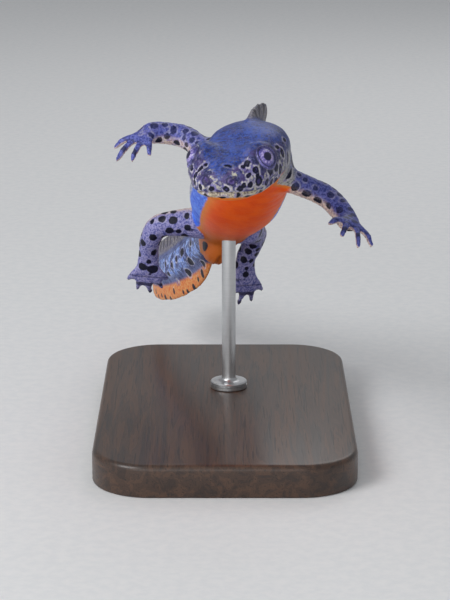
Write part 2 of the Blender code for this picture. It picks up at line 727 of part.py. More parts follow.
def stand_rod():
    """A turned rod: collar on the base, shaft, and a top that reaches into the body to be cut."""
    foot = BASE_THICKNESS + GAP
    frame = SPINE.frame(ROD_STATION)
    outline = (
        (COLLAR_RADIUS, foot),
        (COLLAR_RADIUS, foot + COLLAR_HEIGHT * 0.7),
        (COLLAR_RADIUS * 0.85, foot + COLLAR_HEIGHT),
        (ROD_RADIUS, foot + COLLAR_HEIGHT),
        (ROD_RADIUS, (foot + frame.at.z) / 2),
        (ROD_RADIUS, frame.at.z),
    )
    rings = []
    for radius, height in outline:
        place = Frame(Vector((frame.at.x, frame.at.y, height)), Vector((0, 0, 1)),
                      Vector((1, 0, 0)), Vector((0, 1, 0)))
        rings.append(round_ring(place, radius))
    rod = loft("stand_rod", rings, ROD_SIDES)
    return dressed(combined(rod, [trunk_room(ROD_STATION)], "DIFFERENCE"), STAND_STEEL)


stand_base()
stand_rod()
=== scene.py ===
"""The alpine newt's looks: a painted skin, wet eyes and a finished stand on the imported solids.

Sizes are in millimetres and turn into metres where a mesh is made. +X is the newt's left, +Y
runs from snout to tail, +Z is up, and the origin is the middle of the stand's underside.
"""

import json
import math
import random
from collections import namedtuple
from functools import partial

import bmesh
import bpy
import numpy as np
from mathutils import Matrix, Vector, noise

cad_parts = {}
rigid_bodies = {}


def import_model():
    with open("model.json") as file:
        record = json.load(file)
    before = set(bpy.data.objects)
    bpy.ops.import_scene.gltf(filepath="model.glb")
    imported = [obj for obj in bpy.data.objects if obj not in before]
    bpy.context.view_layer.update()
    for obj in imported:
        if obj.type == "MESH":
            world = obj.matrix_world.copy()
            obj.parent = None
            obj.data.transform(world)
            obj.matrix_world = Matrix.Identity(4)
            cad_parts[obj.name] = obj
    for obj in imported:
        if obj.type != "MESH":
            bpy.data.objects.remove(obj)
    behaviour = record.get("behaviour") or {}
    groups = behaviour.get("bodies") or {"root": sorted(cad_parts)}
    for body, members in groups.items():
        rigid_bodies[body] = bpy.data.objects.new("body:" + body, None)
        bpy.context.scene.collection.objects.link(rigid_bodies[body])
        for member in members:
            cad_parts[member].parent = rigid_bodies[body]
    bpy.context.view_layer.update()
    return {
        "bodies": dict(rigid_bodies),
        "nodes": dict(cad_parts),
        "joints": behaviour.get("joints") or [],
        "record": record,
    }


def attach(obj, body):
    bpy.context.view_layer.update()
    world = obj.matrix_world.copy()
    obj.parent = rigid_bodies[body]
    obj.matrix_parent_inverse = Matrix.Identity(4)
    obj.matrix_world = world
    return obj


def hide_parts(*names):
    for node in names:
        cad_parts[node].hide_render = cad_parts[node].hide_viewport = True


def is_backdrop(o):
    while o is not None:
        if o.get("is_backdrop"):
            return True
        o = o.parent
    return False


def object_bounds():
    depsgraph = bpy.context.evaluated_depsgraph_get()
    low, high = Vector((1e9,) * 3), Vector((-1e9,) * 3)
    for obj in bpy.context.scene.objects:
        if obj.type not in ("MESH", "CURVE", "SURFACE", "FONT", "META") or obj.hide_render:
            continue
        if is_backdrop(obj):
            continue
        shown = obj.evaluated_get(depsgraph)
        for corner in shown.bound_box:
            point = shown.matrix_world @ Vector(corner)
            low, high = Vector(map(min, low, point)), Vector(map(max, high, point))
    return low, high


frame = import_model()
MM = 0.001

# The camera looks at the newt's face from in front and a little above. It stands well back with
# a long lens, so that near and far limbs keep their true sizes.
SIGHT = Vector((0.0, -26.0, 21.5))  # the point that it looks at
CAMERA_FAR = 220.0
CAMERA_RISE = math.radians(15.0)
SHOWN_HEIGHT = 600 / 10.5  # what the picture's longer side takes in, at that distance
SENSOR = 36.0

camera_data = bpy.data.cameras.new("camera")
camera_data.sensor_width = SENSOR
camera_data.lens = SENSOR * CAMERA_FAR / SHOWN_HEIGHT
camera_data.clip_start = 0.01
camera = bpy.data.objects.new("camera", camera_data)
bpy.context.scene.collection.objects.link(camera)
towards_camera = Vector((0, -math.cos(CAMERA_RISE), math.sin(CAMERA_RISE)))
camera.location = (SIGHT + towards_camera * CAMERA_FAR) * MM
camera.rotation_mode = "QUATERNION"
camera.rotation_quaternion = (-towards_camera).to_track_quat("-Z", "Y")
bpy.context.scene.camera = camera

# The body's form: head, neck, trunk and tail are one tapering tube round the backbone. The
# animal is soft flesh over a slight skeleton, and the model is cast in one piece after it.
SHOULDER, HIP, VENT, TAIL_ROOT, TAIL_TIP = 18.2, 40.0, 43.4, 46.4, 82.5
BODY_LIFT = 21.5
HEAD_YAW, HEAD_PITCH = 18.5, -9.0
SNOUT_TIP = Vector((-0.6, -28.4, 11.4))
HEAD_AXIS_STEPS = (0.0, 5.0, 10.0)
BACKBONE_WAY = (
    (2.5, -12.1, 11.0), (1.3, -2.8, 5.7), (0.0, 7.2, 0.4), (-2.2, 15.5, -4.7),
    (-5.8, 23.7, -9.2), (-8.3, 32.9, -12.2), (-7.8, 43.4, -13.4),
)
ROLL = ((0, -3), (10, -2), (18, 20), (40, 10), (60, 4), (90, 0))
HALF_WIDTH = (
    (0, 0.5), (0.2, 1.45), (0.6, 2.3), (1.2, 2.95), (2, 3.45), (3, 3.85), (4.5, 4.05),
    (6, 4.15), (7.8, 4.12), (9.2, 3.98), (11, 3.75), (12.6, 3.65), (14.5, 3.85), (18, 4.45),
    (23, 4.85), (29, 4.9), (34, 4.4), (38, 3.6), (41, 3.05), (44, 2.45), (46.4, 2.05),
    (55, 1.5), (65, 1.05), (75, 0.65), (80, 0.42), (82.5, 0.2),
)
RISE = (
    (0, 0.3), (0.2, 0.75), (0.6, 1.2), (1.2, 1.6), (2, 1.95), (3, 2.25), (4.5, 2.5),
    (6, 2.65), (8, 2.85), (10, 2.95), (12.6, 3.0), (18, 3.15), (28, 3.3), (35, 3.1),
    (41, 2.7), (46.4, 2.35), (55, 2.0), (65, 1.5), (75, 0.95), (80, 0.5), (82.5, 0.15),
)
DROP = (
    (0, 0.35), (0.2, 0.85), (0.6, 1.35), (1.2, 1.7), (2, 2.0), (3, 2.2), (4.5, 2.4),
    (6, 2.5), (8, 2.65), (10, 2.75), (12.6, 2.85), (16, 3.05), (18, 3.25), (23, 3.6),
    (29, 3.8), (35, 3.4), (41, 2.75), (46.4, 2.35), (55, 2.0), (65, 1.5), (75, 0.95),
    (80, 0.5), (82.5, 0.15),
)
SQUARENESS = ((0, 2.2), (8, 2.4), (20, 2.2), (46, 2.0), (90, 2.0))
MOUTH_CORNER, JAW_INSET, JAW_TOP = 6.9, 0.22, 0.45
VENT_SIZE, VENT_SINK = (1.75, 2.6, 1.7), 0.25
BODY_SIDES, BODY_STEP = 96, 0.4
SNOUT_STATIONS = [0, 0.04, 0.1, 0.18, 0.3, 0.44, 0.6, 0.8]

Frame = namedtuple("Frame", "at along side back")


def smooth_curve(keys):
    """A function that runs smoothly, and without overshoot, through (place, value) keys."""
    places, values = zip(*keys)
    rises = [
        (values[i + 1] - values[i]) / (places[i + 1] - places[i])
        for i in range(len(keys) - 1)
    ]
    slopes = [rises[0]]
    for before, after in zip(rises, rises[1:]):
        same_way = before * after > 0
        slopes.append(2 * before * after / (before + after) if same_way else 0.0)
    slopes.append(rises[-1])

    def value(place):
        place = min(max(place, places[0]), places[-1])
        i = max(j for j in range(len(places) - 1) if places[j] <= place)
        span = places[i + 1] - places[i]
        t = (place - places[i]) / span
        return (
            values[i] * (1 + 2 * t) * (1 - t) ** 2
            + slopes[i] * span * t * (1 - t) ** 2
            + values[i + 1] * t * t * (3 - 2 * t)
            - slopes[i + 1] * span * t * t * (1 - t)
        )

    return value


half_width, rise, drop, squareness, roll = map(
    smooth_curve, (HALF_WIDTH, RISE, DROP, SQUARENESS, ROLL)
)


class Way:
    """A smooth line through points, read by distance along it, with a frame at each place."""

    STEPS = 24

    def __init__(self, points, end_back=None):
        points = [Vector(p) for p in points]
        ends = [points[0] * 2 - points[1], *points, points[-1] * 2 - points[-2]]
        self.dots = [points[0]]
        for a, b, c, d in zip(ends, ends[1:], ends[2:], ends[3:]):
            for step in range(1, self.STEPS + 1):
                t = step / self.STEPS
                bend = (a * 2 - b * 5 + c * 4 - d) * t * t + (b * 3 - a - c * 3 + d) * t**3
                self.dots.append(0.5 * (b * 2 + (c - a) * t + bend))
        self.far = [0.0]
        for a, b in zip(self.dots, self.dots[1:]):
            self.far.append(self.far[-1] + (b - a).length)
        self.length = self.far[-1]
        last = len(self.dots) - 1
        self.heads = [
            (self.dots[min(i + 1, last)] - self.dots[max(i - 1, 0)]).normalized()
            for i in range(last + 1)
        ]
        self.backs = None
        if end_back is not None:
            # Carried from the end to the start with the least twist.
            back = Vector(end_back)
            self.backs = [None] * (last + 1)
            for i in range(last, -1, -1):
                back = (back - self.heads[i] * back.dot(self.heads[i])).normalized()
                self.backs[i] = back

    def frame(self, distance):
        distance = min(max(distance, 0.0), self.length)
        i = max(j for j in range(len(self.far) - 1) if self.far[j] <= distance)
        t = (distance - self.far[i]) / (self.far[i + 1] - self.far[i])
        at = self.dots[i].lerp(self.dots[i + 1], t)
        along = self.heads[i].lerp(self.heads[i + 1], t).normalized()
        if self.backs is None:
            side = along.cross(Vector((0, 0, 1))).normalized()
            back = side.cross(along)
            lean = math.radians(roll(distance))
            leaned = back * math.cos(lean) + side * math.sin(lean)
            return Frame(at, along, along.cross(leaned), leaned)
        back = self.backs[i].lerp(self.backs[i + 1], t)
        side = along.cross(back).normalized()
        return Frame(at, along, side, side.cross(along))


def backbone():
    yaw, pitch = math.radians(HEAD_YAW), math.radians(HEAD_PITCH)
    forward = Vector(
        (-math.sin(yaw) * math.cos(pitch), -math.cos(yaw) * math.cos(pitch), math.sin(pitch))
    )
    head = [SNOUT_TIP - forward * step for step in HEAD_AXIS_STEPS]
    lift = Vector((0, 0, BODY_LIFT))
    return Way([p + lift for p in (*head, *(Vector(p) for p in BACKBONE_WAY))])


SPINE = backbone()


def rounded(turn, width, up, down, power):
    """A point of a rounded section, at an angle round it."""
    c, s = math.cos(turn), math.sin(turn)
    x = math.copysign(abs(c) ** (2 / power), c) * width
    z = math.copysign(abs(s) ** (2 / power), s) * (up if s > 0 else down)
    return x, z, 0.0


def round_ring(frame, radius):
    return frame, lambda turn: rounded(turn, radius, radius, radius, 2)


def loft(rings, sides):
    """A closed form over rings, each a frame and a function from angle to (side, back, along)."""
    bm = bmesh.new()
    turn = bm.verts.layers.float.new("turn")
    verts = bmesh.ops.create_circle(bm, segments=sides, radius=1)["verts"]
    for i, v in enumerate(verts):
        v[turn] = 2 * math.pi * i / sides
    edges = bm.edges[:]
    bmesh.ops.edgeloop_fill(bm, edges=edges)
    for number, (frame, shape) in enumerate(rings):
        if number:
            grown = bmesh.ops.extrude_edge_only(bm, edges=edges)["geom"]
            verts = [g for g in grown if isinstance(g, bmesh.types.BMVert)]
            edges = [g for g in grown if isinstance(g, bmesh.types.BMEdge)]
        for v in verts:
            x, z, y = shape(v[turn])
            v.co = frame.at + frame.side * x + frame.back * z + frame.along * y
    bmesh.ops.edgeloop_fill(bm, edges=edges)
    return bm


flesh = bpy.data.meshes.new("flesh")
forms = bmesh.new()


def add_form(bm):
    """Adds a closed form to those that the skin is melted from."""
    bm.to_mesh(flesh)
    bm.free()
    forms.from_mesh(flesh)


def egg(centre, frame, size):
    """A ball stretched along a frame's side, length and back."""
    turned = Matrix((frame.side, frame.along, frame.back)).transposed().to_4x4()
    place = Matrix.Translation(centre) @ turned @ Matrix.Diagonal((*size, 1))
    bmesh.ops.create_uvsphere(forms, u_segments=48, v_segments=32, radius=1, matrix=place)


def stations(start, end, longest_step):
    count = max(1, math.ceil((end - start) / longest_step))
    return [start + (end - start) * i / count for i in range(count + 1)]


def body_ring(station):
    """The body's section. Ahead of the mouth's corners the lower jaw stands a little inside."""
    frame = SPINE.frame(station)
    sizes = (half_width(station), rise(station), drop(station), squareness(station))
    fade = max(0.0, 1 - station / MOUTH_CORNER) ** 0.5

    def shape(turn):
        x, z, along = rounded(turn, *sizes)
        under = min(1.0, max(0.0, -math.sin(turn) - JAW_TOP) * 6) * fade
        x -= math.copysign(JAW_INSET * under * abs(math.cos(turn)), x)
        return x, z, along + JAW_INSET * under * max(0.0, 1 - station)

    return frame, shape


body_stations = SNOUT_STATIONS + stations(1, TAIL_TIP, BODY_STEP)
add_form(loft([body_ring(s) for s in body_stations], BODY_SIDES))
vent_frame = SPINE.frame(VENT)
vent_centre = vent_frame.at - vent_frame.back * (drop(VENT) - VENT_SINK)
egg(vent_centre, vent_frame, VENT_SIZE)

# The eyes' rims: each eye sits high on the side of the head, looks forwards, outwards and up,
# and is held in a swelling of soft skin whose edge is the lid.
EYE_RADIUS = 1.22
EYE_STATION, EYE_SPREAD, EYE_HEIGHT = 3.95, 3.1, 1.42
EYE_LOOK = (0.50, 0.70, 0.51)  # forward, outward and up
LID_SIZE, LID_SINK = (1.9, 2.15, 1.9), 0.36
SIDES = (True, False)


def on_head(station, out, up, left):
    """A point beside the head's axis, on the newt's left or right."""
    frame = SPINE.frame(station)
    return frame.at + frame.side * (out if left else -out) + frame.back * up


def eye_axis(left):
    frame = SPINE.frame(EYE_STATION)
    forward, out, up = EYE_LOOK
    look = frame.side * (out if left else -out) + frame.back * up - frame.along * forward
    return look.normalized()


def eye_centre(left):
    return on_head(EYE_STATION, EYE_SPREAD, EYE_HEIGHT, left)


for left in SIDES:
    sunk = eye_centre(left) - eye_axis(left) * LID_SINK
    egg(sunk, SPINE.frame(EYE_STATION), LID_SIZE)

# The crest on the back and the fins of the tail: low upright folds of skin, thin as card at
# the edge, that run on from one another and grow out of the body without a seam.
CREST_START, CREST_TAPER = 8.8, 2.5
CREST_HEIGHT = smooth_curve(
    ((8.8, -0.55), (10.2, 0.05), (11.5, 0.6), (13.5, 1.35), (16, 2.2), (19, 2.1), (24, 1.9),
     (34, 1.8), (43, 1.5), (46.4, 1.5), (52, 1.9), (60, 2.1), (68, 1.9), (75, 1.35), (79, 0.65),
     (81, 0.1), (82.2, -0.3))
)
crest_lean = smooth_curve(((8.8, -0.2), (12, -0.15), (16, 0), (20, 0.1), (28, 0.05), (34, 0)))
LOWER_FIN_START = 47.8
LOWER_FIN_HEIGHT = smooth_curve(
    ((47.8, 0.5), (49.5, 1.2), (53, 1.7), (60, 1.9), (68, 1.7), (75, 1.2), (79, 0.6),
     (81, 0.1), (82.2, -0.3))
)
FOLD_ROOT, FOLD_EDGE = 0.55, 0.25  # half the fold's thickness
FOLD_SINK = 0.5  # how far its root lies in the body
FOLD_LIFT = 0.3  # the body's own gap to the solids' folds, which the skin fills
FOLD_SMOOTHING = 14  # rounds
FOLD_SPARE = 0.15  # what the smoothing takes off the edge
FOLD_STEP, FOLD_SIDES = 0.5, 28


def fold_ring(station, body, height, upwards):
    frame = SPINE.frame(station)
    way = 1 if upwards else -1
    fullness = min(1.0, 0.6 + 0.4 * (station - CREST_START) / CREST_TAPER)
    low, high = body - FOLD_SINK, body + FOLD_LIFT + height + FOLD_SPARE
    lean = crest_lean(station) if upwards else 0.0

    def shape(turn):
        share = (1 + math.sin(turn)) / 2
        thick = (FOLD_ROOT + (FOLD_EDGE - FOLD_ROOT) * share**0.5) * fullness
        round_off = min(1.0, 5 * (1 - share)) ** 0.5
        x = thick * round_off * math.copysign(1, math.cos(turn))
        return x + lean * share, way * (low + (high - low) * share), 0.0

    return frame, shape


for upwards, body, heights, start in (
    (True, rise, CREST_HEIGHT, CREST_START),
    (False, drop, LOWER_FIN_HEIGHT, LOWER_FIN_START),
):
    places = stations(start, TAIL_TIP - 0.3, FOLD_STEP)
    rings = [fold_ring(s, body(s), heights(s), upwards) for s in places]
    add_form(loft(rings, FOLD_SIDES))

# The limbs: four slim legs held out from the trunk, each bent at elbow or knee, with a flat
# soft palm or sole. The hands have four fingers and the feet five toes, blunt and clawless.
Limb = namedtuple("Limb", "left station out down upper lower palm back radii digits")
ARM_RADII = ((0, 1.6), (1.6, 1.3), (5.5, 1.2), (8.5, 1.15), (11, 0.95))
LEG_RADII = ((0, 1.9), (2, 1.6), (5.5, 1.25), (8, 1.15), (11, 0.95))
FINGERS = ((-42, 1.7, 20), (-12, 2.6, 22), (14, 3.0, 24), (42, 2.1, 20))
TOES = ((-42, 1.5, 16), (-21, 2.7, 20), (-2, 3.5, 22), (15, 3.3, 22), (35, 2.1, 16))
LIMBS = (
    Limb(True, SHOULDER, 0.68, 0.22, (5.6, 1.2, -2.3), (1.7, -3.5, -2.1),
         (0.1, -1.8, 0.35), (0.4, 0.15, 0.85), ARM_RADII, FINGERS),
    Limb(False, SHOULDER, 0.68, 0.38, (-3.3, 4.6, 2.0), (-3.6, -0.9, 0.2),
         (-1.0, -1.3, -0.45), (-0.4, -0.5, 0.7), ARM_RADII, FINGERS),
    Limb(True, HIP, 0.72, 0.25, (1.6, 4.6, -1.5), (-1.6, 1.6, -3.8),
         (0.1, -0.2, -2.3), (0.3, -0.9, 0.1), LEG_RADII, TOES),
    Limb(False, HIP, 0.72, 0.25, (-5.4, -0.5, 0.1), (-0.6, 2.3, -3.8),
         (-0.1, 0.1, -2.4), (-0.1, -0.9, 0.1), LEG_RADII, TOES),
)
LIMB_SIDES, LIMB_STEP = 40, 0.3
PALM_WIDTH, PALM_THICKNESS = 1.3, 0.55
KNUCKLE_SPAN = 0.68  # of the palm's width
DIGIT_SIDES, DIGIT_RADIUS = 24, 0.44
DIGIT_OVERLAP, DIGIT_BEND = 0.7, 0.08
DIGIT_TIP = 0.88  # where the rounding of the tip starts, as a share of the digit


def limb_way(limb):
    """The limb's middle line, rounded at its joints, and how far along it the wrist is."""
    frame = SPINE.frame(limb.station)
    out = limb.out * half_width(limb.station) * (1 if limb.left else -1)
    root = frame.at + frame.side * out - frame.back * limb.down * drop(limb.station)
    bend = root + Vector(limb.upper)
    wrist = bend + Vector(limb.lower)
    knuckles = wrist + Vector(limb.palm)
    points = [root, root.lerp(bend, 0.5)]
    points += [bend.lerp(root, 0.22).lerp(bend.lerp(wrist, 0.26), 0.5)]
    points += [bend.lerp(wrist, 0.6), wrist.lerp(bend, 0.1), knuckles]
    way = Way(points, end_back=limb.back)
    _, wrist_far = min(zip(way.dots, way.far), key=lambda pair: (pair[0] - wrist).length)
    return way, wrist_far


def flat_oval(width, depth, turn):
    return rounded(turn, width, depth, depth, 2.3)


def digit(root, heading, back, length):
    """One finger or toe: slim and tapered, with a soft bend and a blunt round tip."""
    middle = root + heading * length / 2 + back * length * DIGIT_BEND
    tip = root + heading * length - back * length * DIGIT_BEND
    way = Way([root, middle, tip], end_back=back)
    girth = smooth_curve(((0, 1.0), (0.42, 0.9), (0.55, 1.0), (0.7, 0.84), (0.86, 0.8), (1, 0.72)))
    rings = []
    for share in stations(0, DIGIT_TIP, 0.08) + [0.93, 0.96, 0.98, 0.995]:
        radius = DIGIT_RADIUS * girth(share)
        past = max(0.0, (share - DIGIT_TIP) / (1 - DIGIT_TIP))
        rings.append(round_ring(way.frame(share * way.length), radius * math.sqrt(1 - past**2)))
    add_form(loft(rings, DIGIT_SIDES))


def palm_and_digits(limb, way, wrist_far):
    wrist_radius = smooth_curve(limb.radii)(wrist_far)
    wide = smooth_curve(
        ((0, wrist_radius), (0.6, PALM_WIDTH), (0.9, PALM_WIDTH * 0.9), (1, PALM_WIDTH * 0.6))
    )
    deep = smooth_curve(
        ((0, wrist_radius), (0.6, PALM_THICKNESS), (0.9, PALM_THICKNESS * 0.85), (1, 0.3))
    )
    rings = [round_ring(way.frame(wrist_far - 0.6), wrist_radius)]
    for share in stations(0, 1, 0.09):
        place = way.frame(wrist_far + (way.length - wrist_far) * share)
        rings.append((place, partial(flat_oval, wide(share), deep(share))))
    add_form(loft(rings, LIMB_SIDES))
    knuckle = way.frame(way.length)
    outward = -knuckle.side if limb.left else knuckle.side
    for number, (spread, length, droop) in enumerate(limb.digits):
        share = number / (len(limb.digits) - 1) * 2 - 1
        aside = outward * share * PALM_WIDTH * KNUCKLE_SPAN
        root = knuckle.at - knuckle.along * DIGIT_OVERLAP + aside
        angle, fall = math.radians(spread), math.radians(droop)
        heading = knuckle.along * math.cos(angle) + outward * math.sin(angle)
        heading = heading * math.cos(fall) - knuckle.back * math.sin(fall)
        digit(root, heading, knuckle.back, length + DIGIT_OVERLAP)


limb_ways = []
for limb in LIMBS:
    way, wrist_far = limb_way(limb)
    radii = smooth_curve(limb.radii)
    rings = [round_ring(way.frame(far), radii(far)) for far in stations(0, wrist_far, LIMB_STEP)]
    add_form(loft(rings, LIMB_SIDES))
    palm_and_digits(limb, way, wrist_far)
    limb_ways.append((way, radii, wrist_far))

# The skin: one soft, moist sheet over the whole animal. Here the forms are melted into one
# closed surface, which is smoothed all over and then split finer on the head.
SKIN_GRAIN = 0.23  # spacing of the skin's points before the finer areas are split
SMOOTHING, ROOT_SMOOTHING, KNUCKLE_SMOOTHING, EYE_SMOOTHING = 8, 12, 3, 4  # rounds
ROOT_REACH, KNUCKLE_REACH, EYE_REACH = 2.9, 1.7, 2.6
HEAD_SPLIT, HEAD_REACH = 8.6, 12  # how far back, and from the snout's tip
LIP_SPLIT, NOSTRIL_SPLIT, LID_SPLIT = 0.32, 0.6, 2.0
LID_FACING = (0.2, 0.88)  # cosines between the eye's axis and the lids
skin = bpy.data.objects.new("skin", flesh)
forms.to_mesh(flesh)
forms.free()
bpy.context.scene.collection.objects.link(skin)
melt = skin.modifiers.new("melt", "REMESH")
melt.mode = "VOXEL"
melt.voxel_size = SKIN_GRAIN
graph = bpy.context.evaluated_depsgraph_get()
skin.data = bpy.data.meshes.new_from_object(skin.evaluated_get(graph))
skin.modifiers.clear()
bpy.data.meshes.remove(flesh)
bm = bmesh.new()
bm.from_mesh(skin.data)

# The mouth's line, as heights above the head's axis: low in front, lowest under the eye.
mouth_dip = smooth_curve(((0, -0.56), (1.7, -0.9), (3.7, -1.3), (5.5, -1.38), (6.9, -1.2)))
nose = SPINE.frame(0)


def softened(bm, verts, rounds, amount=0.5):
    for _ in range(rounds):
        bmesh.ops.smooth_vert(
            bm, verts=verts, factor=amount, use_axis_x=True, use_axis_y=True, use_axis_z=True
        )


def spread(bm):
    return np.array([v.co for v in bm.verts])


def near(bm, spot, reach):
    """The points within reach of a spot."""
    found = np.linalg.norm(spread(bm) - np.array(spot), axis=1) < reach
    bm.verts.ensure_lookup_table()
    return [bm.verts[i] for i in np.flatnonzero(found)]


def split_finer(bm, wanted):
    """Halves the edges whose ends are both wanted, and settles the new points."""
    edges = [e for e in bm.edges if wanted[e.verts[0].index] and wanted[e.verts[1].index]]
    split = bmesh.ops.subdivide_edges(bm, edges=edges, cuts=1, use_grid_fill=True)["geom_inner"]
    softened(bm, [g for g in split if isinstance(g, bmesh.types.BMVert)], 1)
    bm.verts.index_update()


NOSTRIL = Vector((1.3, 0.25, 0.62))  # out, behind the snout's tip, and up
softened(bm, bm.verts[:], SMOOTHING)
for way, *_ in limb_ways:
    softened(bm, near(bm, way.frame(2.0).at, ROOT_REACH), ROOT_SMOOTHING)
    softened(bm, near(bm, way.frame(way.length - 0.3).at, KNUCKLE_REACH), KNUCKLE_SMOOTHING)
for left in SIDES:
    softened(bm, near(bm, eye_centre(left), EYE_REACH), EYE_SMOOTHING)

# First the whole head is split, then only what lies along the mouth, a nostril or a lid.
nose_axes = np.array((nose.side, nose.along, nose.back)).T
bm.verts.index_update()
face = (spread(bm) - np.array(nose.at)) @ nose_axes
split_finer(bm, (face[:, 1] < HEAD_SPLIT) & (np.linalg.norm(face, axis=1) < HEAD_REACH))
places = spread(bm)
face = (places - np.array(nose.at)) @ nose_axes
wanted = (face[:, 1] < MOUTH_CORNER + 0.8) & (np.linalg.norm(face, axis=1) < HEAD_REACH)
dips = np.interp(face[:, 1], *zip(*((s, mouth_dip(s)) for s in stations(0, 7, 0.2))))
wanted &= np.abs(face[:, 2] - dips) < LIP_SPLIT
face[:, 0] = np.abs(face[:, 0])
wanted |= np.linalg.norm(face - np.array(NOSTRIL), axis=1) < NOSTRIL_SPLIT
for left in SIDES:
    away = places - np.array(eye_centre(left))
    reach = np.linalg.norm(away, axis=1)
    facing = (away @ np.array(eye_axis(left))) / reach
    wanted |= (reach < LID_SPLIT) & (facing > LID_FACING[0]) & (facing < LID_FACING[1])
split_finer(bm, wanted)

# The finer shapes stand in low relief on the skin, as on the living animal. Each one is a push
# in or out along the surface, worked out for all the points at once.
bm.normal_update()
bm.verts.ensure_lookup_table()
points = spread(bm)
normals = np.array([v.normal for v in bm.verts])

AT_ONCE = 4000  # points worked out together
LINE_FAR = np.array(stations(0, TAIL_TIP, 0.25))
LINE = [SPINE.frame(s) for s in LINE_FAR]
LINE_AT, LINE_ALONG, LINE_SIDE, LINE_BACK = (
    np.array([getattr(f, part) for f in LINE]) for part in ("at", "along", "side", "back")
)


def eased(value, low, high):
    """0 at low, 1 at high and a smooth change between them."""
    t = np.clip((value - low) / (high - low), 0, 1)
    return t * t * (3 - 2 * t)


def hump(value, width):
    return np.exp(-((value / width) ** 2))


def along_line(points, at, along, side, back, far):
    """Each point's distance along a line, and its offsets to the line's side and back."""
    place = np.empty((len(points), 3))
    for start in range(0, len(points), AT_ONCE):
        batch = slice(start, start + AT_ONCE)
        some = points[batch]
        nearest = ((some[:, None] - at[None]) ** 2).sum(2).argmin(1)
        away = some - at[nearest]
        place[batch, 0] = far[nearest] + (away * along[nearest]).sum(1)
        place[batch, 1] = (away * side[nearest]).sum(1)
        place[batch, 2] = (away * back[nearest]).sum(1)
    return place


def read_off(curve, places, low, high):
    """A curve's values at many places at once."""
    steps = np.linspace(low, high, 400)
    return np.interp(places, steps, [curve(s) for s in steps])


station, out, up = along_line(points, LINE_AT, LINE_ALONG, LINE_SIDE, LINE_BACK, LINE_FAR).T
wide, high, low = (read_off(curve, station, 0, TAIL_TIP) for curve in (half_width, rise, drop))
share_out = out / wide
share_up = up / np.where(up > 0, high, low)
girth = np.hypot(share_out, share_up)
body_gap = (girth - 1) * np.minimum(wide, np.where(up > 0, high, low))
height_angle = np.degrees(np.arctan2(share_up, np.abs(share_out)))

limb_gap = np.full(len(points), 99.0)
limb_far = np.zeros(len(points))
limb_top = np.zeros(len(points))
limb_end = np.zeros(len(points))
hind = np.zeros(len(points))
for limb, (way, radii, wrist_far) in zip(LIMBS, limb_ways):
    fars = stations(0, way.length, 0.2)
    frames = [way.frame(far) for far in fars]
    parts = [
        np.array([getattr(f, part) for f in frames]) for part in ("at", "along", "side", "back")
    ]
    far, aside, above = along_line(points, *parts, np.array(fars)).T
    girths = read_off(radii, far, 0, way.length)
    past_wrist = eased(far, wrist_far, wrist_far + 1.2)
    gap = np.hypot(aside, above) - girths - 0.9 * past_wrist
    gap += 2.0 * np.maximum(0, -far)
    closer = gap < limb_gap
    limb_gap = np.where(closer, gap, limb_gap)
    limb_far = np.where(closer, far, limb_far)
    limb_end = np.where(closer, far - way.length, limb_end)
    hind = np.where(closer, float(limb.station == HIP), hind)
    backs = np.stack([np.interp(far, fars, parts[3][:, axis]) for axis in range(3)], axis=1)
    limb_top = np.where(closer, (normals * backs).sum(1), limb_top)
on_limb = eased(body_gap - limb_gap, -0.35, 0.45)
on_body = 1 - on_limb
fold_up = eased(up - high, 0.12, 0.5) * eased(-np.abs(out), -1.0, -0.75) * on_body
fold_up *= station > CREST_START
fold_down = eased(-up - low, 0.12, 0.4) * eased(-np.abs(out), -0.8, -0.6) * on_body
fold_down *= station > LOWER_FIN_START

# The folds' thin edges are smoothed further, as the melted forms leave them a little toothed.
edge_points = [bm.verts[i] for i in np.flatnonzero((fold_up + fold_down > 0.2) & (station > 14))]
softened(bm, edge_points, FOLD_SMOOTHING)
bm.normal_update()
points = spread(bm)
normals = np.array([v.normal for v in bm.verts])

push = np.zeros(len(points))
head_part = on_body * eased(station, 9.5, 8.0)

# Lips: a fine slit, a full upper lip that hangs over it at the sides, and a thin lower one.
SLIT_DEPTH, SLIT_BREADTH = 0.2, 0.085
UPPER_LIP, LOWER_LIP, CHIN_FOLD = 0.07, 0.04, 0.03
mouth_height = read_off(mouth_dip, station, 0, MOUTH_CORNER)
above_slit = up - mouth_height
slit = head_part * eased(station, MOUTH_CORNER + 0.7, MOUTH_CORNER - 0.3)
push -= SLIT_DEPTH * slit * hump(above_slit, SLIT_BREADTH)
push += UPPER_LIP * slit * hump(above_slit - 0.3, 0.2) * (0.5 + eased(station, 1.5, 4.5))
push += LOWER_LIP * slit * hump(above_slit + 0.26, 0.15)
push -= CHIN_FOLD * slit * hump(above_slit + 0.55, 0.15)

# Nostrils: small pits with a faint rim, and the ridge that runs from each back to the eye.
NOSTRIL_DEPTH, NOSTRIL_BREADTH, NOSTRIL_RIM = 0.3, 0.15, 0.035
RIDGE_RISE, RIDGE_HOLLOW = 0.07, 0.06
face = np.stack([np.abs(out), station, up], axis=1)
from_nostril = np.linalg.norm(face - np.array(NOSTRIL), axis=1)
push -= NOSTRIL_DEPTH * head_part * hump(from_nostril, NOSTRIL_BREADTH)
push += NOSTRIL_RIM * head_part * hump(from_nostril - 0.32, 0.12)
ridge_share = np.clip((station - 0.6) / 2.2, 0, 1)
ridge_out = 1.5 + 1.35 * ridge_share
ridge_up = 1.3 + 0.85 * ridge_share
from_ridge = np.hypot(np.abs(out) - ridge_out, up - ridge_up)
ridge_span = eased(station, 0.5, 1.2) * eased(station, 3.4, 2.6)
push += RIDGE_RISE * head_part * hump(from_ridge, 0.4) * ridge_span
below_ridge = eased(station, 0.8, 1.6) * (up < ridge_up)
push -= RIDGE_HOLLOW * head_part * hump(from_ridge - 0.75, 0.35) * below_ridge

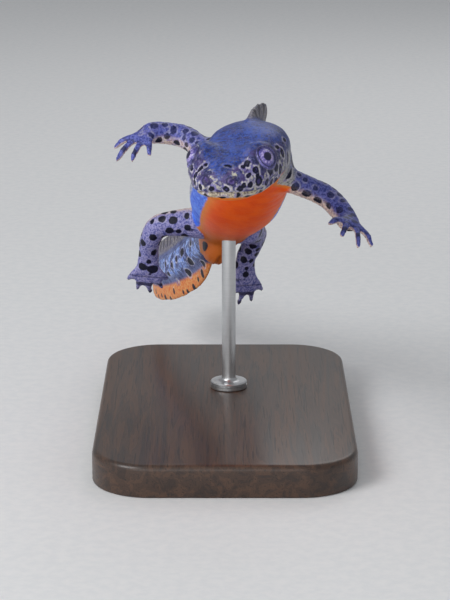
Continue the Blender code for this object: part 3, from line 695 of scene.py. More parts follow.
# Crown, temple and throat: a shallow dip between the eyes, the full glands behind them, and
# the fold that parts the throat from the chest.
CROWN_DIP, GLAND_RISE, THROAT_FOLD = 0.1, 0.14, 0.16
crown = head_part * eased(share_up, 0.5, 0.9)
push -= CROWN_DIP * crown * hump(out, 0.9) * eased(station, 1.5, 3.0) * eased(station, 8.5, 6.0)
temple = on_body * hump(station - 9.0, 2.0) * hump(height_angle - 38, 22)
push += GLAND_RISE * temple
under = on_body * eased(height_angle, 12, -20)
push -= THROAT_FOLD * under * hump(station - 12.3 - 0.5 * np.cos(out), 0.2)
push += 0.07 * under * hump(station - 11.8 - 0.5 * np.cos(out), 0.35)
push -= 0.07 * under * hump(station - 13.9 - 0.4 * np.cos(out), 0.2)

# Ribs and muscle: faint upright grooves between shoulder and hip, and chevrons on the tail.
RIB_SPACING, RIB_DEPTH = 1.62, 0.06
CHEVRON_SPACING, CHEVRON_DEPTH = 1.5, 0.035
FLANK_LINE, BACK_GROOVE = 0.04, 0.05  # depths
side = on_body * eased(height_angle, -62, -40) * eased(height_angle, 62, 40)
trunk = side * eased(station, SHOULDER + 0.5, SHOULDER + 3) * eased(station, HIP, HIP - 3)
rib_phase = (station - SHOULDER - 0.25 * np.abs(share_up)) / RIB_SPACING
push -= RIB_DEPTH * trunk * np.abs(np.cos(np.pi * rib_phase)) ** 10
tail = side * eased(station, TAIL_ROOT - 1, TAIL_ROOT + 3) * eased(station, 80, 66)
chevron = (station - 0.9 * np.abs(share_up)) / CHEVRON_SPACING
push -= CHEVRON_DEPTH * tail * np.abs(np.cos(np.pi * chevron)) ** 8
push -= FLANK_LINE * tail * hump(share_up, 0.16)
beside_crest = eased(share_up, 0.6, 0.9) * (station > 14)
push -= BACK_GROOVE * on_body * hump(np.abs(out) - 0.75, 0.25) * beside_crest

# Vent: the dome is parted by a slit with soft lips, and finely creased beside it.
VENT_SLIT, VENT_LIP, VENT_CREASE = 0.3, 0.08, 0.03  # depth, rise and depth
from_vent = points - np.array(vent_centre)
vent_along = from_vent @ np.array(vent_frame.along)
vent_aside = from_vent @ np.array(vent_frame.side)
dome = eased(-up - low, -0.3, 0.5) * eased(np.abs(station - VENT), 2.9, 2.2) * on_body
push -= VENT_SLIT * dome * hump(vent_aside, 0.11) * eased(np.abs(vent_along), 1.5, 1.0)
vent_lips = hump(np.abs(vent_aside) - 0.33, 0.18)
push += VENT_LIP * dome * vent_lips * eased(np.abs(vent_along), 1.7, 1.1)
vent_crease = np.abs(np.cos(vent_along * 7.0)) ** 4
push -= VENT_CREASE * dome * vent_crease * eased(np.abs(vent_aside), 0.3, 0.6)

# Limbs: creases inside elbow and knee, and across the joints of the fingers and toes.
BEND_CREASE, JOINT_CREASE = 0.028, 0.035  # depths
crease = on_limb * np.abs(np.cos(limb_far * 4.4 + 0.7 * limb_top)) ** 6
push -= BEND_CREASE * crease * eased(limb_end, -1.8, -3.2)
joint_crease = on_limb * np.abs(np.cos((limb_end - 0.35) * 3.1)) ** 14
push -= JOINT_CREASE * joint_crease * eased(limb_end, 0.1, 0.5)

# A slight unevenness over all, as soft skin has.
push += np.array(
    [0.022 * noise.noise(v.co * 0.9) + 0.01 * noise.noise(v.co * 2.3) for v in bm.verts]
)
points += normals * push[:, None]

# Lids: round each eye the skin wraps the globe closely, ends in a soft rim and turns in behind
# it. The rim closes in towards the snout, the upper lid is thicker and the lower one broader.
LID_RIM = 56.0  # degrees between the eye's axis and the rim
LID_COVER = 19.0  # by how many degrees the rim is closer to the axis on the snout's side
LID_BREADTH, LOWER_LID_MORE = 11.0, 5.0  # degrees too
LID_EDGE, UPPER_LID_MORE = 0.09, 0.05  # thickness
LID_HOLD = 34.0  # how far past the rim the skin follows the globe, in degrees
LID_RISE, LID_GROOVE, LID_TUCK = 0.07, 0.05, 0.3


def round_eye(points, left):
    """Each point's place, distance and angle off an eye's axis, and where the lid lies there."""
    look = np.array(eye_axis(left))
    away = points - np.array(eye_centre(left))
    reach = np.linalg.norm(away, axis=1)
    heading = away / reach[:, None]
    off = np.degrees(np.arccos(np.clip(heading @ look, -1, 1)))
    forward = -np.array(nose.along)
    forward -= look * (forward @ look)
    forward /= np.linalg.norm(forward)
    to_snout = np.clip((heading @ forward) / np.maximum(np.sin(np.radians(off)), 0.05), 0, 1)
    upper = heading @ np.array(nose.back)
    rim = LID_RIM - 3.0 * np.abs(upper) - LID_COVER * to_snout
    return away, reach, off, rim, rim + LID_BREADTH - LOWER_LID_MORE * upper, upper


for left in SIDES:
    away, reach, off, rim, outer, upper = round_eye(points, left)
    close = reach < EYE_REACH + 0.1
    thick = LID_EDGE + UPPER_LID_MORE * eased(upper, -0.2, 0.7)
    hug = eased(off, rim + LID_HOLD, rim + 4) * eased(reach, 2.4, 1.85)
    wrapped = EYE_RADIUS + thick + (reach - EYE_RADIUS - thick) * (1 - hug) ** 0.9
    wrapped += LID_RISE * hump(off - (rim + outer) / 2, 5)
    wrapped -= LID_GROOVE * hump(off - outer - 3, 5)
    inward = eased(off, rim + 1, rim - 7)
    wrapped += (EYE_RADIUS - LID_TUCK - wrapped) * inward
    new_reach = np.where(close & (off < rim + LID_HOLD), wrapped, reach)
    centre = np.array(eye_centre(left))
    points = np.where(close[:, None], centre + away * (new_reach / reach)[:, None], points)

for v, point in zip(bm.verts, points):
    v.co = point
lid_points = [v for left in SIDES for v in near(bm, eye_centre(left), 2.3)]
softened(bm, lid_points, 1, 0.35)
points = spread(bm)

# The newt's round black spots. Those that the face, arms and legs show are set one by one,
# and the rest are scattered as on other males: on flank, limbs, hips, tail and fins.
Spot = namedtuple("Spot", "at first second radii")  # two directions on the skin, and radii


def body_spot(station, turn, long, tall, gap=0.0):
    """A spot on head, trunk or tail, at an angle in degrees from the left side over the back."""
    frame, shape = body_ring(station)
    here, there = (shape(math.radians(angle)) for angle in (turn, turn + 4))
    x, z, y = here
    around = frame.side * (there[0] - x) + frame.back * (there[1] - z)
    at = frame.at + frame.side * x + frame.back * z + frame.along * y
    ahead = body_ring(station + 0.3)
    x, z, y = ahead[1](math.radians(turn))
    further = ahead[0].at + ahead[0].side * x + ahead[0].back * z + ahead[0].along * y
    return Spot(at, (further - at).normalized(), around.normalized(), (long, tall))


def limb_spot(number, far, turn, long, broad):
    """A spot on a limb, at a distance along it and an angle in degrees round it."""
    way, radii, wrist_far = limb_ways[number]
    frame = way.frame(far)
    angle = math.radians(turn)
    out = frame.side * math.cos(angle) + frame.back * math.sin(angle)
    around = frame.back * math.cos(angle) - frame.side * math.sin(angle)
    girth = radii(far) if far < wrist_far + 0.4 else PALM_THICKNESS
    return Spot(frame.at + out * girth, frame.along, around, (long, broad))


# Station, angle, half the length and half the height of each spot on the face.
FACE_SPOTS = (
    (0.63, -136, 0.3, 0.24), (0.42, -87, 0.22, 0.36), (0.63, -45, 0.2, 0.36),
    (1.67, -46, 0.5, 0.27), (2.9, -37, 0.42, 0.22), (0.05, -16, 0.3, 0.3),
    (0.05, -166, 0.3, 0.26), (0.42, -8, 0.3, 0.28), (0.63, 4, 0.24, 0.24),
    (1.04, 0, 0.27, 0.27), (1.88, 1, 0.4, 0.46), (2.92, -9, 0.3, 0.42), (4.0, -16, 0.34, 0.4),
    (5.2, -22, 0.36, 0.36), (3.33, 10, 0.36, 0.4), (4.3, 9, 0.36, 0.42), (5.2, 4, 0.36, 0.46),
    (6.3, -6, 0.4, 0.5), (2.08, 31, 0.32, 0.3), (2.08, 52, 0.28, 0.3), (1.67, 55, 0.22, 0.24),
    (1.46, 80, 0.14, 0.34), (1.3, 30, 0.26, 0.2), (1.9, 16, 0.18, 0.2),
    (0.42, -175, 0.21, 0.34), (1.25, 153, 0.28, 0.4), (1.46, 131, 0.26, 0.36),
    (1.0, 176, 0.24, 0.26), (7.4, 14, 0.3, 0.44), (8.3, -2, 0.34, 0.6), (9.7, -8, 0.42, 0.8),
    (11.4, -2, 0.4, 0.7), (13.0, -10, 0.45, 0.85), (16.7, -8, 0.42, 0.72),
    (2.2, -176, 0.38, 0.42), (3.3, -168, 0.36, 0.4), (4.5, -164, 0.38, 0.4),
    (3.9, 172, 0.36, 0.4), (5.4, 174, 0.4, 0.5), (6.6, -178, 0.44, 0.6), (2.3, 152, 0.34, 0.26),
    (1.8, 118, 0.26, 0.2), (1.9, -134, 0.46, 0.2), (8.2, 176, 0.42, 0.7),
    (10.0, 178, 0.45, 0.8), (12.0, 172, 0.45, 0.7), (14.0, 178, 0.5, 0.8), (7.2, 30, 0.28, 0.2),
    (8.6, 28, 0.3, 0.24), (10.4, 26, 0.34, 0.28), (7.0, 150, 0.3, 0.24), (9.0, 148, 0.32, 0.26),
    (10.9, 150, 0.3, 0.3),
)
# Limb, distance along it, angle round it, and half the spot's length and breadth.
LIMB_SPOTS = (
    (0, 1.96, 2, 0.42, 0.5), (0, 3.45, -10, 0.5, 0.42), (0, 4.04, 34, 0.28, 0.28),
    (0, 4.95, -18, 0.48, 0.36), (0, 6.3, 42, 0.4, 0.34), (0, 7.16, -4, 0.4, 0.3),
    (0, 7.7, 76, 0.28, 0.34), (0, 8.45, 26, 0.42, 0.38), (0, 10.2, 96, 0.34, 0.32),
    (0, 11.3, 30, 0.3, 0.3), (1, 5.0, 128, 0.32, 0.34), (1, 6.7, 142, 0.34, 0.48),
    (1, 7.35, 180, 0.3, 0.34), (1, 4.6, 164, 0.24, 0.28), (1, 8.1, -155, 0.36, 0.42),
    (1, 9.9, 165, 0.34, 0.4), (3, 4.2, 27, 0.44, 0.42), (3, 3.1, -8, 0.38, 0.4),
    (3, 1.85, 29, 0.3, 0.4), (3, 5.7, 91, 0.5, 0.44), (3, 9.1, 25, 0.4, 0.4),
    (3, 8.4, 129, 0.44, 0.38), (3, 10.8, 150, 0.5, 0.5), (3, 10.6, 40, 0.46, 0.44),
    (2, 0.9, 150, 0.4, 0.55), (2, 5.5, 75, 0.44, 0.46), (2, 3.0, 110, 0.44, 0.4),
    (2, 8.4, 60, 0.44, 0.42), (2, 7.0, 120, 0.36, 0.34), (2, 10.4, 80, 0.36, 0.36),
)
HIP_SPOTS = ((42.6, -122, 0.85, 0.46), (39.0, -150, 0.4, 0.4), (43.6, -60, 0.6, 0.42))
spots = [body_spot(*size) for size in FACE_SPOTS + HIP_SPOTS]
spots += [limb_spot(*size) for size in LIMB_SPOTS]
draw = random.Random(20)


def scatter(tries, room, make):
    """Adds spots from make wherever none is within room times their own and the other's size."""
    for _ in range(tries):
        new = make()
        size = max(new.radii)
        if all((new.at - s.at).length > room * (size + max(s.radii)) for s in spots):
            spots.append(new)


def flank_spot():
    turn = draw.uniform(-6, 22)
    size = draw.uniform(0.34, 0.56)
    place = draw.uniform(15.5, TAIL_ROOT)
    return body_spot(place, draw.choice((turn, 180 - turn)), size * 1.1, size)


def tail_spot():
    place = draw.uniform(TAIL_ROOT, 78)
    turn = draw.gauss(0, 34)
    size = draw.uniform(0.26, 0.5) * (1.15 - 0.6 * (place - TAIL_ROOT) / 36)
    return body_spot(place, draw.choice((turn, 180 - turn)), size * 1.25, size)


def any_limb_spot():
    number = draw.randrange(4)
    way = limb_ways[number][0]
    size = draw.uniform(0.24, 0.46)
    return limb_spot(number, draw.uniform(1.6, way.length), draw.uniform(0, 360), size * 1.1, size)


def fin_spot():
    """A spot near the edge of a fin, on both its faces."""
    upwards = draw.random() < 0.5
    place = draw.uniform(LOWER_FIN_START + 1, 80)
    frame = SPINE.frame(place)
    body, height = (rise, CREST_HEIGHT) if upwards else (drop, LOWER_FIN_HEIGHT)
    reach = body(place) + FOLD_LIFT + height(place) * draw.uniform(0.35, 0.95)
    at = frame.at + frame.back * (reach if upwards else -reach)
    size = draw.uniform(0.26, 0.5) * (1.1 - 0.5 * (place - TAIL_ROOT) / 36)
    return Spot(at, frame.along, frame.back, (size, size * 1.15))


def crest_bar():
    """One of the dark upright bars of the crest, as tall as the crest is there."""
    place = crest_bars.pop()
    frame = SPINE.frame(place)
    reach = rise(place) + FOLD_LIFT + CREST_HEIGHT(place) * 0.62
    lean = (frame.back + frame.along * draw.uniform(-0.25, 0.25)).normalized()
    along = frame.side.cross(lean)
    return Spot(frame.at + frame.back * reach, along, lean, (draw.uniform(0.28, 0.42), 0.85))


crest_bars = [11.8 + 1.55 * i + draw.uniform(-0.25, 0.25) for i in range(45)]
scatter(45, 0.3, crest_bar)
scatter(700, 1.08, flank_spot)
scatter(900, 1.15, any_limb_spot)
scatter(260, 1.7, tail_spot)
scatter(160, 1.7, fin_spot)

from_spot = np.full(len(points), 1.5)
for spot in spots:
    away = points - np.array(spot.at)
    close = np.flatnonzero(np.abs(away).max(axis=1) < 2.6)
    away = away[close]
    first, second = (np.array(direction) for direction in (spot.first, spot.second))
    through = np.cross(first, second)
    span = np.sqrt(
        (away @ first / spot.radii[0]) ** 2
        + (away @ second / spot.radii[1]) ** 2
        + (away @ through / 1.1) ** 2
    )
    from_spot[close] = np.minimum(from_spot[close], (span - 1) * min(spot.radii))

# Where each colour lies, in millimetres from its border or as a share from 0 to 1. The skin's
# paint reads these, so that every marking follows the body and not the view.
throat_edge = ((0, -1.0), (1, -1.3), (2, -1.5), (4, -1.62), (6.9, -1.35))
vent_edge = ((44, -1.25), (46.4, -1.6), (49, -2.4))
left_edge = ((10, -1.3), (14, -1.85), (15.9, -2.05), (18, -1.3), (21, -0.5), (24, -0.9),
             (30, -1.9), (36, -2.0))
right_edge = ((12, -1.0), (17, -1.6), (21, -2.5), (24, -3.05), (29, -3.0), (34.8, -2.5),
              (40.8, -1.4))
edge_left, edge_right = (
    read_off(smooth_curve(throat_edge + edge + vent_edge), station, 0, TAIL_TIP)
    for edge in (left_edge, right_edge)
)
orange_edge = edge_right + (edge_left - edge_right) * eased(out, -0.6, 0.6)
orange_edge = np.where(station > 47, -low - 0.75, orange_edge)
cap_width = read_off(
    smooth_curve(((0, -0.3), (0.6, 0.35), (1.2, 1.1), (2, 1.7), (3, 2.5), (4.2, 3.3), (6, 3.4),
                  (8.5, 3.5), (10, 3.7), (13, 4.4))),
    station, 0, TAIL_TIP,
)
lid_zone = np.zeros(len(points))
lid_crease_shade = np.zeros(len(points))
moist = np.zeros(len(points))
for left in SIDES:
    _, reach, off, rim, outer, _ = round_eye(points, left)
    beside = (reach < 2.3) & (off < 110)
    moist = np.maximum(moist, np.where(beside, eased(off, outer + 14, outer + 4), 0))
    lid_zone = np.maximum(lid_zone, np.where(beside, eased(off, outer + 2, outer - 5), 0))
    # Painted shade: the groove outside each lid and the rim's tuck against the globe are darkened.
    creases = np.maximum(hump(off - outer - 3, 4.5), hump(off - rim, 3.5))
    lid_crease_shade = np.maximum(lid_crease_shade, np.where(beside, creases, 0))
stripe = np.where(out > 0, eased(station, 22, 26), eased(station, 12.5, 16))
stripe *= eased(station, 47.5, 44)
zones = {
    "station": station,
    "over_orange": up - orange_edge,
    "cap": cap_width - np.abs(out),
    "angle": height_angle / 90,
    "above_slit": np.where(station < MOUTH_CORNER + 0.5, above_slit, 3.0),
    "on_head": head_part,
    "on_limb": on_limb,
    "limb_far": limb_far,
    "limb_top": limb_top,
    "limb_end": limb_end,
    "crest": fold_up,
    "lower_fin": fold_down,
    "from_spot": from_spot,
    "vent": dome,
    "from_nostril": np.where(head_part > 0.5, from_nostril, 3.0),
    "hind": hind,
    "lid": lid_zone,
    "lid_crease_shade": lid_crease_shade,
    "moist": moist,
    "stripe": stripe,
}
bmesh.ops.scale(bm, verts=bm.verts[:], vec=(MM, MM, MM))
bm.to_mesh(skin.data)
bm.free()
for name, values in zones.items():
    layer = skin.data.attributes.new(name, "FLOAT", "POINT")
    layer.data.foreach_set("value", np.asarray(values, dtype=np.float32))
skin.data.shade_smooth()


# The skin's paint. Blue-grey and marbled above, then a silvery band with the spots, a stripe
# of sky blue and the plain orange belly, all under a thin coat of slime that keeps it moist.
def tint(red, green, blue):
    """A colour given as the eye sees it, from 0 to 255 a part, and made linear."""
    parts = [part / 255 for part in (red, green, blue)]
    return (*(p / 12.92 if p < 0.04045 else ((p + 0.055) / 1.055) ** 2.4 for p in parts), 1.0)


class Wire:
    """A socket of a material. Arithmetic on it adds Math nodes, and node() any other node."""

    def __init__(self, tree, socket=None):
        self.tree = tree
        self.socket = socket

    def node(self, kind, settings=None, links=None, output=0):
        made = self.tree.nodes.new(kind)
        for name, value in (settings or {}).items():
            setattr(made, name, value)
        for name, value in (links or {}).items():
            if isinstance(value, Wire):
                self.tree.links.new(value.socket, made.inputs[name])
            else:
                made.inputs[name].default_value = value
        return Wire(self.tree, made.outputs[output] if made.outputs else None)

    def math(self, operation, other, first=None):
        first = self if first is None else first
        return self.node("ShaderNodeMath", {"operation": operation}, {0: first, 1: other})

    def __add__(self, other):
        return self.math("ADD", other)

    def __sub__(self, other):
        return self.math("SUBTRACT", other)

    def __rsub__(self, other):
        return self.math("SUBTRACT", self, other)

    def __mul__(self, other):
        return self.math("MULTIPLY", other)

    __radd__ = __add__
    __rmul__ = __mul__

    def eased(self, low, high):
        """0 at low, 1 at high and a smooth change between them."""
        down = low > high
        ends = {"From Min": high if down else low, "From Max": low if down else high}
        step = self.node(
            "ShaderNodeMapRange",
            {"interpolation_type": "SMOOTHSTEP"},
            {"Value": self, **ends},
        )
        return 1 - step if down else step

    def colour(self, without, whole):
        """A colour that goes from one to the other as this goes from 0 to 1."""
        ends = {0: self, 6: without, 7: whole}
        return self.node("ShaderNodeMix", {"data_type": "RGBA"}, ends, 2)

    def tones(self, low, high, dark, pale):
        """Goes from one tint to the other as this goes from low to high."""
        return self.eased(low, high).colour(tint(*dark), tint(*pale))

    def share(self, name):
        return self.node("ShaderNodeAttribute", {"attribute_name": name}, output=2)

    def place(self, *scale):
        """Places on the piece, with each direction scaled by its own factor."""
        here = self.node("ShaderNodeTexCoord", output=3)
        return self.node("ShaderNodeMapping", None, {"Vector": here, "Scale": scale})

    def noise(self, place, scale, detail=2.0, roughness=0.5, distortion=0.0):
        links = {"Vector": place, "Scale": scale, "Detail": detail}
        links.update({"Roughness": roughness, "Distortion": distortion})
        return self.node("ShaderNodeTexNoise", None, links)

    def bump(self, height, strength, distance, normal=None):
        links = {"Height": height, "Strength": strength, "Distance": distance}
        if normal:
            links["Normal"] = normal
        return self.node("ShaderNodeBump", None, links)


def finish_named(name, settings):
    """A new material, its Principled shader with fixed settings, and a wire to start from."""
    made = bpy.data.materials.new(name)
    made.use_nodes = True
    shader = made.node_tree.nodes["Principled BSDF"]
    for socket, value in settings.items():
        shader.inputs[socket].default_value = value
    return made, shader, Wire(made.node_tree)


def feed(shader, wires):
    """Links each wire to the shader's socket of that name."""
    for socket, wire in wires.items():
        shader.id_data.links.new(wire.socket, shader.inputs[socket])


skin_paint, shader, w = finish_named(
    "newt_skin",
    {"Coat Roughness": 0.16, "IOR": 1.33, "Subsurface Weight": 0.05,
     "Subsurface Radius": (0.9, 0.5, 0.35), "Subsurface Scale": 0.0006},
)
place = w.place(1000, 1000, 1000)
cloud = w.noise(place, 0.55, 4.0, 0.6, 0.4)
blotch = w.noise(place, 1.1, 3.0, 0.55, 0.6)
grain = w.noise(place, 3.6, 3.0, 0.6)
speck = w.noise(place, 9.0, 2.0, 0.6)
wander = (grain - 0.5) * 0.5 + (speck - 0.5) * 0.25
behind = w.share("station")  # millimetres behind the snout's tip

fine = w.noise(place, 5.2, 3.0, 0.62, 0.8)
mottle = w.noise(place, 1.9, 3.0, 0.6, 0.5)
BACK_DEEP, BACK_BLUE, BACK_PALE = tint(28, 38, 90), tint(56, 84, 172), tint(92, 122, 212)
back = (fine * 0.6 + cloud * 0.4).eased(0.4, 0.56).colour(BACK_DEEP, BACK_BLUE)
back = (mottle.eased(0.5, 0.6) * 0.5).colour(back, tint(44, 44, 88))
back = (blotch.eased(0.5, 0.62) * 0.35).colour(back, tint(78, 70, 110))
back = (speck.eased(0.56, 0.72) * 0.6).colour(back, BACK_PALE)
back = (grain.eased(0.46, 0.36) * 0.45).colour(back, tint(84, 92, 116))
greyer = (cloud * 0.5 + fine * 0.5).colour(tint(26, 36, 66), tint(84, 102, 146))
back = (behind.eased(20, 30) * 0.5).colour(back, greyer)
brow = w.share("cap").eased(2.4, 0.2) * (mottle * 0.6 + fine * 0.4).eased(0.5, 0.43)
back = (brow * w.share("on_head") * 0.6).colour(back, tint(110, 108, 146))
marbling = (blotch * 0.7 + grain * 0.3).eased(0.5, 0.56) * behind.eased(10, 16) * 0.8
back = marbling.colour(back, tint(24, 28, 58))

over_orange = w.share("over_orange") + wander * 0.5
on_head_share = w.share("on_head")
# The side of the face: dark slate and purple, with cream flecks that crowd towards the lips.
off_cap = (w.share("cap") + wander * 1.6).eased(0.3, -0.3) * on_head_share
side_of_face = (fine * 0.5 + mottle * 0.5).tones(0.44, 0.58, (34, 36, 76), (86, 88, 138))
side_of_face = (blotch.eased(0.45, 0.6) * 0.6).colour(side_of_face, tint(84, 68, 122))
fleck_noise = w.noise(place, 2.0, 1.5, 0.5, 0.4)
fleck_room = w.share("above_slit").eased(3.2, 0.1) * 0.15
fleck = (fleck_noise + fleck_room).eased(0.63, 0.74) * on_head_share
fleck_tone = (mottle * 0.5 + speck * 0.5).tones(0.42, 0.56, (134, 130, 168), (196, 192, 166))
side_of_face = (fleck * 0.85).colour(side_of_face, fleck_tone)
skin_tone = off_cap.colour(back, side_of_face)

# The flank's silvery band and its sky-blue stripe.
band_top = over_orange + behind.eased(20, 13) * 0.7
band_zone = band_top.eased(3.5, 2.6) * behind.eased(6, 9.5)
band_zone = band_zone * behind.eased(60, 46)
band_tone = (fine * 0.5 + grain * 0.5).tones(0.4, 0.58, (84, 92, 132), (206, 208, 220))
temple_tone = (fine * 0.5 + blotch * 0.5).tones(0.42, 0.56, (44, 54, 98), (92, 102, 150))
low_neck = (fine * 0.6 + grain * 0.4).tones(0.38, 0.54, (100, 102, 110), (192, 190, 182))
temple_tone = over_orange.eased(2.4, 0.9).colour(temple_tone, low_neck)
band_tone = behind.eased(22, 17).colour(band_tone, temple_tone)
skin_tone = (band_zone * 0.9).colour(skin_tone, band_tone)
SKY, SKY_PALE = tint(54, 98, 222), tint(112, 154, 250)
sky_tone = (grain * 0.6 + cloud * 0.4).eased(0.42, 0.62).colour(SKY, SKY_PALE)
stripe_zone = over_orange.eased(2.0, 1.4) * w.share("stripe")
skin_tone = stripe_zone.colour(skin_tone, sky_tone)

# The tail: blue-grey sides with washed patches of light blue.
tail_part = behind.eased(42, 46)
tail_tone = (cloud * 0.5 + fine * 0.5).tones(0.42, 0.58, (48, 56, 106), (104, 116, 166))
level = 1 - w.share("angle") * w.share("angle")
patch = (blotch * 0.8 + grain * 0.2).eased(0.47, 0.56) * level.eased(0.5, 0.9)
patch_tone = grain.tones(0.4, 0.62, (104, 140, 226), (176, 198, 246))
tail_tone = (patch * 0.9).colour(tail_tone, patch_tone)
skin_tone = tail_part.colour(skin_tone, tail_tone)

# Belly and throat: plain orange, golden along its border, with a cream lower lip.
belly_tone = cloud.tones(0.3, 0.7, (238, 80, 14), (248, 98, 20))
belly_tone = (speck.eased(0.58, 0.78) * 0.2).colour(belly_tone, tint(246, 126, 46))
belly_tone = behind.eased(31, 41).colour(belly_tone, tint(190, 98, 34))
orange = over_orange.eased(0.06, -0.06)
border = over_orange.eased(-0.55, -0.02)
belly_tone = (border * 0.7).colour(belly_tone, tint(214, 140, 46))
lip_shade = w.share("above_slit") + wander * 0.1
lower_lip = lip_shade.eased(0.06, -0.02) * behind.eased(7.0, 5.6)
lip_tone = fine.tones(0.4, 0.56, (126, 110, 106), (206, 194, 166))
skin_tone = lower_lip.colour(skin_tone, lip_tone)
skin_tone = orange.colour(skin_tone, belly_tone)

# Crest and fins: thin and greyish, with dark bars above and an orange edge below.
crest_tone = (grain * 0.5 + fine * 0.5).tones(0.42, 0.58, (78, 78, 108), (144, 138, 140))
skin_tone = w.share("crest").colour(skin_tone, crest_tone)
fin_tone = grain.tones(0.35, 0.65, (214, 104, 40), (222, 160, 96))
skin_tone = w.share("lower_fin").colour(skin_tone, fin_tone)

# Limbs: purplish blue above, cream and flesh-coloured below. The legs are paler than the arms.
hind = w.share("hind")
limb_up = (w.share("limb_top") + wander * 1.5).eased(-0.35, 0.25)
under_tone = (grain * 0.5 + fine * 0.5).tones(0.42, 0.58, (164, 140, 148), (228, 206, 190))
limb_mottle = (fine * 0.6 + grain * 0.4).eased(0.4, 0.58)
top_tone = limb_mottle.colour(tint(48, 56, 126), tint(104, 110, 184))
leg_tone = limb_mottle.colour(tint(74, 80, 146), tint(154, 150, 196))
limb_tone = limb_up.colour(under_tone, hind.colour(top_tone, leg_tone))
digit_band = (w.share("limb_end") * 5.2).math("SINE", 0.0).eased(0.1, 0.7)
digit_band = digit_band * w.share("limb_end").eased(0.2, 0.6) * limb_up
limb_tone = (digit_band * 0.8).colour(limb_tone, tint(30, 30, 56))
arm_start = w.share("limb_far") + wander * 0.8
limb_zone = (w.share("on_limb") + wander * 0.5).eased(0.25, 0.75)
limb_zone = limb_zone * (hind + arm_start.eased(1.1, 2.1)).eased(0.0, 1.0)
skin_tone = limb_zone.colour(skin_tone, limb_tone)

# The spots, each with a paler ring of skin round it.
ragged = w.noise(place, 2.4, 2.0, 0.5, 0.3)
from_spot_edge = w.share("from_spot") + wander * 0.14
from_spot_edge = from_spot_edge + (ragged - 0.5) * (on_head_share * 0.14 + 0.15)
ring_width = on_head_share * 0.03 + 0.24
ring = (from_spot_edge - ring_width).eased(0.0, -0.16) * from_spot_edge.eased(-0.02, 0.06)
off_back = 1 - over_orange.eased(3.6, 4.6) * (1 - limb_zone)
ring_tone = mottle.tones(0.42, 0.58, (122, 114, 176), (212, 206, 210))
ring_strength = (0.72 - 0.4 * limb_up * limb_zone) * (ragged.eased(0.34, 0.5) * 0.5 + 0.5)
fainter = 1 - on_head_share * (1 - off_cap) * 0.75
ring = ring * ring_strength * off_back * (1 - orange) * fainter
skin_tone = ring.colour(skin_tone, ring_tone)
black = from_spot_edge.eased(0.05, -0.05)
spot_tone = speck.tones(0.4, 0.8, (5, 6, 26), (22, 22, 60))
heart = from_spot_edge.eased(-0.1, -0.26) * on_head_share * mottle.eased(0.5, 0.56)
spot_tone = (heart * 0.8).colour(spot_tone, tint(66, 58, 120))
on_crest = w.share("crest")
softer = limb_up * limb_zone * (1 - hind) * 0.3 + on_crest * 0.35
skin_tone = (black * (1 - softer)).colour(skin_tone, spot_tone)

# Round each nostril an uneven purple patch, its pit painted near-black as painted shade, and round
# each eye a lavender lid whose creases are darkened as painted shade.
near_nostril = w.share("from_nostril") + (ragged - 0.5) * 0.9 + wander * 0.25
nostril_tone = near_nostril.tones(0.3, 0.16, (38, 30, 74), (92, 76, 138))
skin_tone = (near_nostril.eased(0.6, 0.44) * 0.85).colour(skin_tone, nostril_tone)
# Painted shade: the middle of each nostril's pit is painted near-black.
skin_tone = w.share("from_nostril").eased(0.13, 0.06).colour(skin_tone, tint(14, 12, 30))
lid = w.share("lid")
lid_tone = (fine * 0.6 + mottle * 0.4).tones(0.42, 0.58, (64, 64, 134), (134, 126, 202))
skin_tone = (lid * (mottle.eased(0.4, 0.52) * 0.2 + 0.8)).colour(skin_tone, lid_tone)
# Painted shade in the lids' creases.
skin_tone = (w.share("lid_crease_shade") * 0.75).colour(skin_tone, tint(34, 34, 76))

pebbles = w.node("ShaderNodeTexVoronoi", None, {"Vector": place, "Scale": 5.5})
relief = w.bump(pebbles * 0.6 + speck * 0.5, 0.3, 0.00008)
feed(shader, {
    "Base Color": skin_tone,
    "Roughness": 0.36 + grain * 0.24,
    "Coat Weight": 0.05 + w.share("moist") * 0.7,
    "Normal": relief,
})
skin.data.materials.append(skin_paint)
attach(skin, "root")
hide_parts(*[n for n in frame["nodes"] if not n.startswith(("stand_", "eye_"))])

# The eyes: two glossy balls. A round navy pupil lies in a pale ring, then the dark iris with
# its lilac flecks, and the clear cornea stands a little proud over them.
EYE_SIDES, EYE_RINGS = 64, 48
PUPIL, PALE_RING = 0.34, 0.59  # as shares of the eye's radius, seen from in front
CORNEA, CORNEA_RISE = 0.75, 0.05  # its radius and height, as shares too
eye_paint, shader, w = finish_named(
    "newt_eye", {"Coat Weight": 0.8, "Coat Roughness": 0.04, "Roughness": 0.5, "IOR": 1.4}
)
from_axis = w.share("from_axis")
around = w.node("ShaderNodeCombineXYZ", None, {0: w.share("eye_east"), 1: w.share("eye_north")})
place = w.place(1000, 1000, 1000)
fleck = w.noise(place, 7.0, 3.0, 0.6)
fibre = w.noise(around, 1.6, 4.0)
iris_tone = (fleck * 0.6 + fibre * 0.4).tones(0.42, 0.6, (46, 42, 112), (92, 86, 174))
pale_tone = (fibre * 0.5 + fleck * 0.5).tones(0.42, 0.6, (92, 80, 158), (188, 174, 222))
edge = from_axis + (fibre - 0.5) * 0.3 + (fleck - 0.5) * 0.1
eye_tone = edge.eased(PALE_RING + 0.06, PALE_RING - 0.12).colour(iris_tone, pale_tone)
eye_tone = (from_axis + (fleck - 0.5) * 0.06).eased(0.72, 0.77).colour(eye_tone, tint(28, 26, 72))
pupil = (from_axis + (fibre - 0.5) * 0.06).eased(PUPIL + 0.02, PUPIL - 0.03)
eye_tone = pupil.colour(eye_tone, tint(6, 4, 52))
feed(shader, {"Base Color": eye_tone})


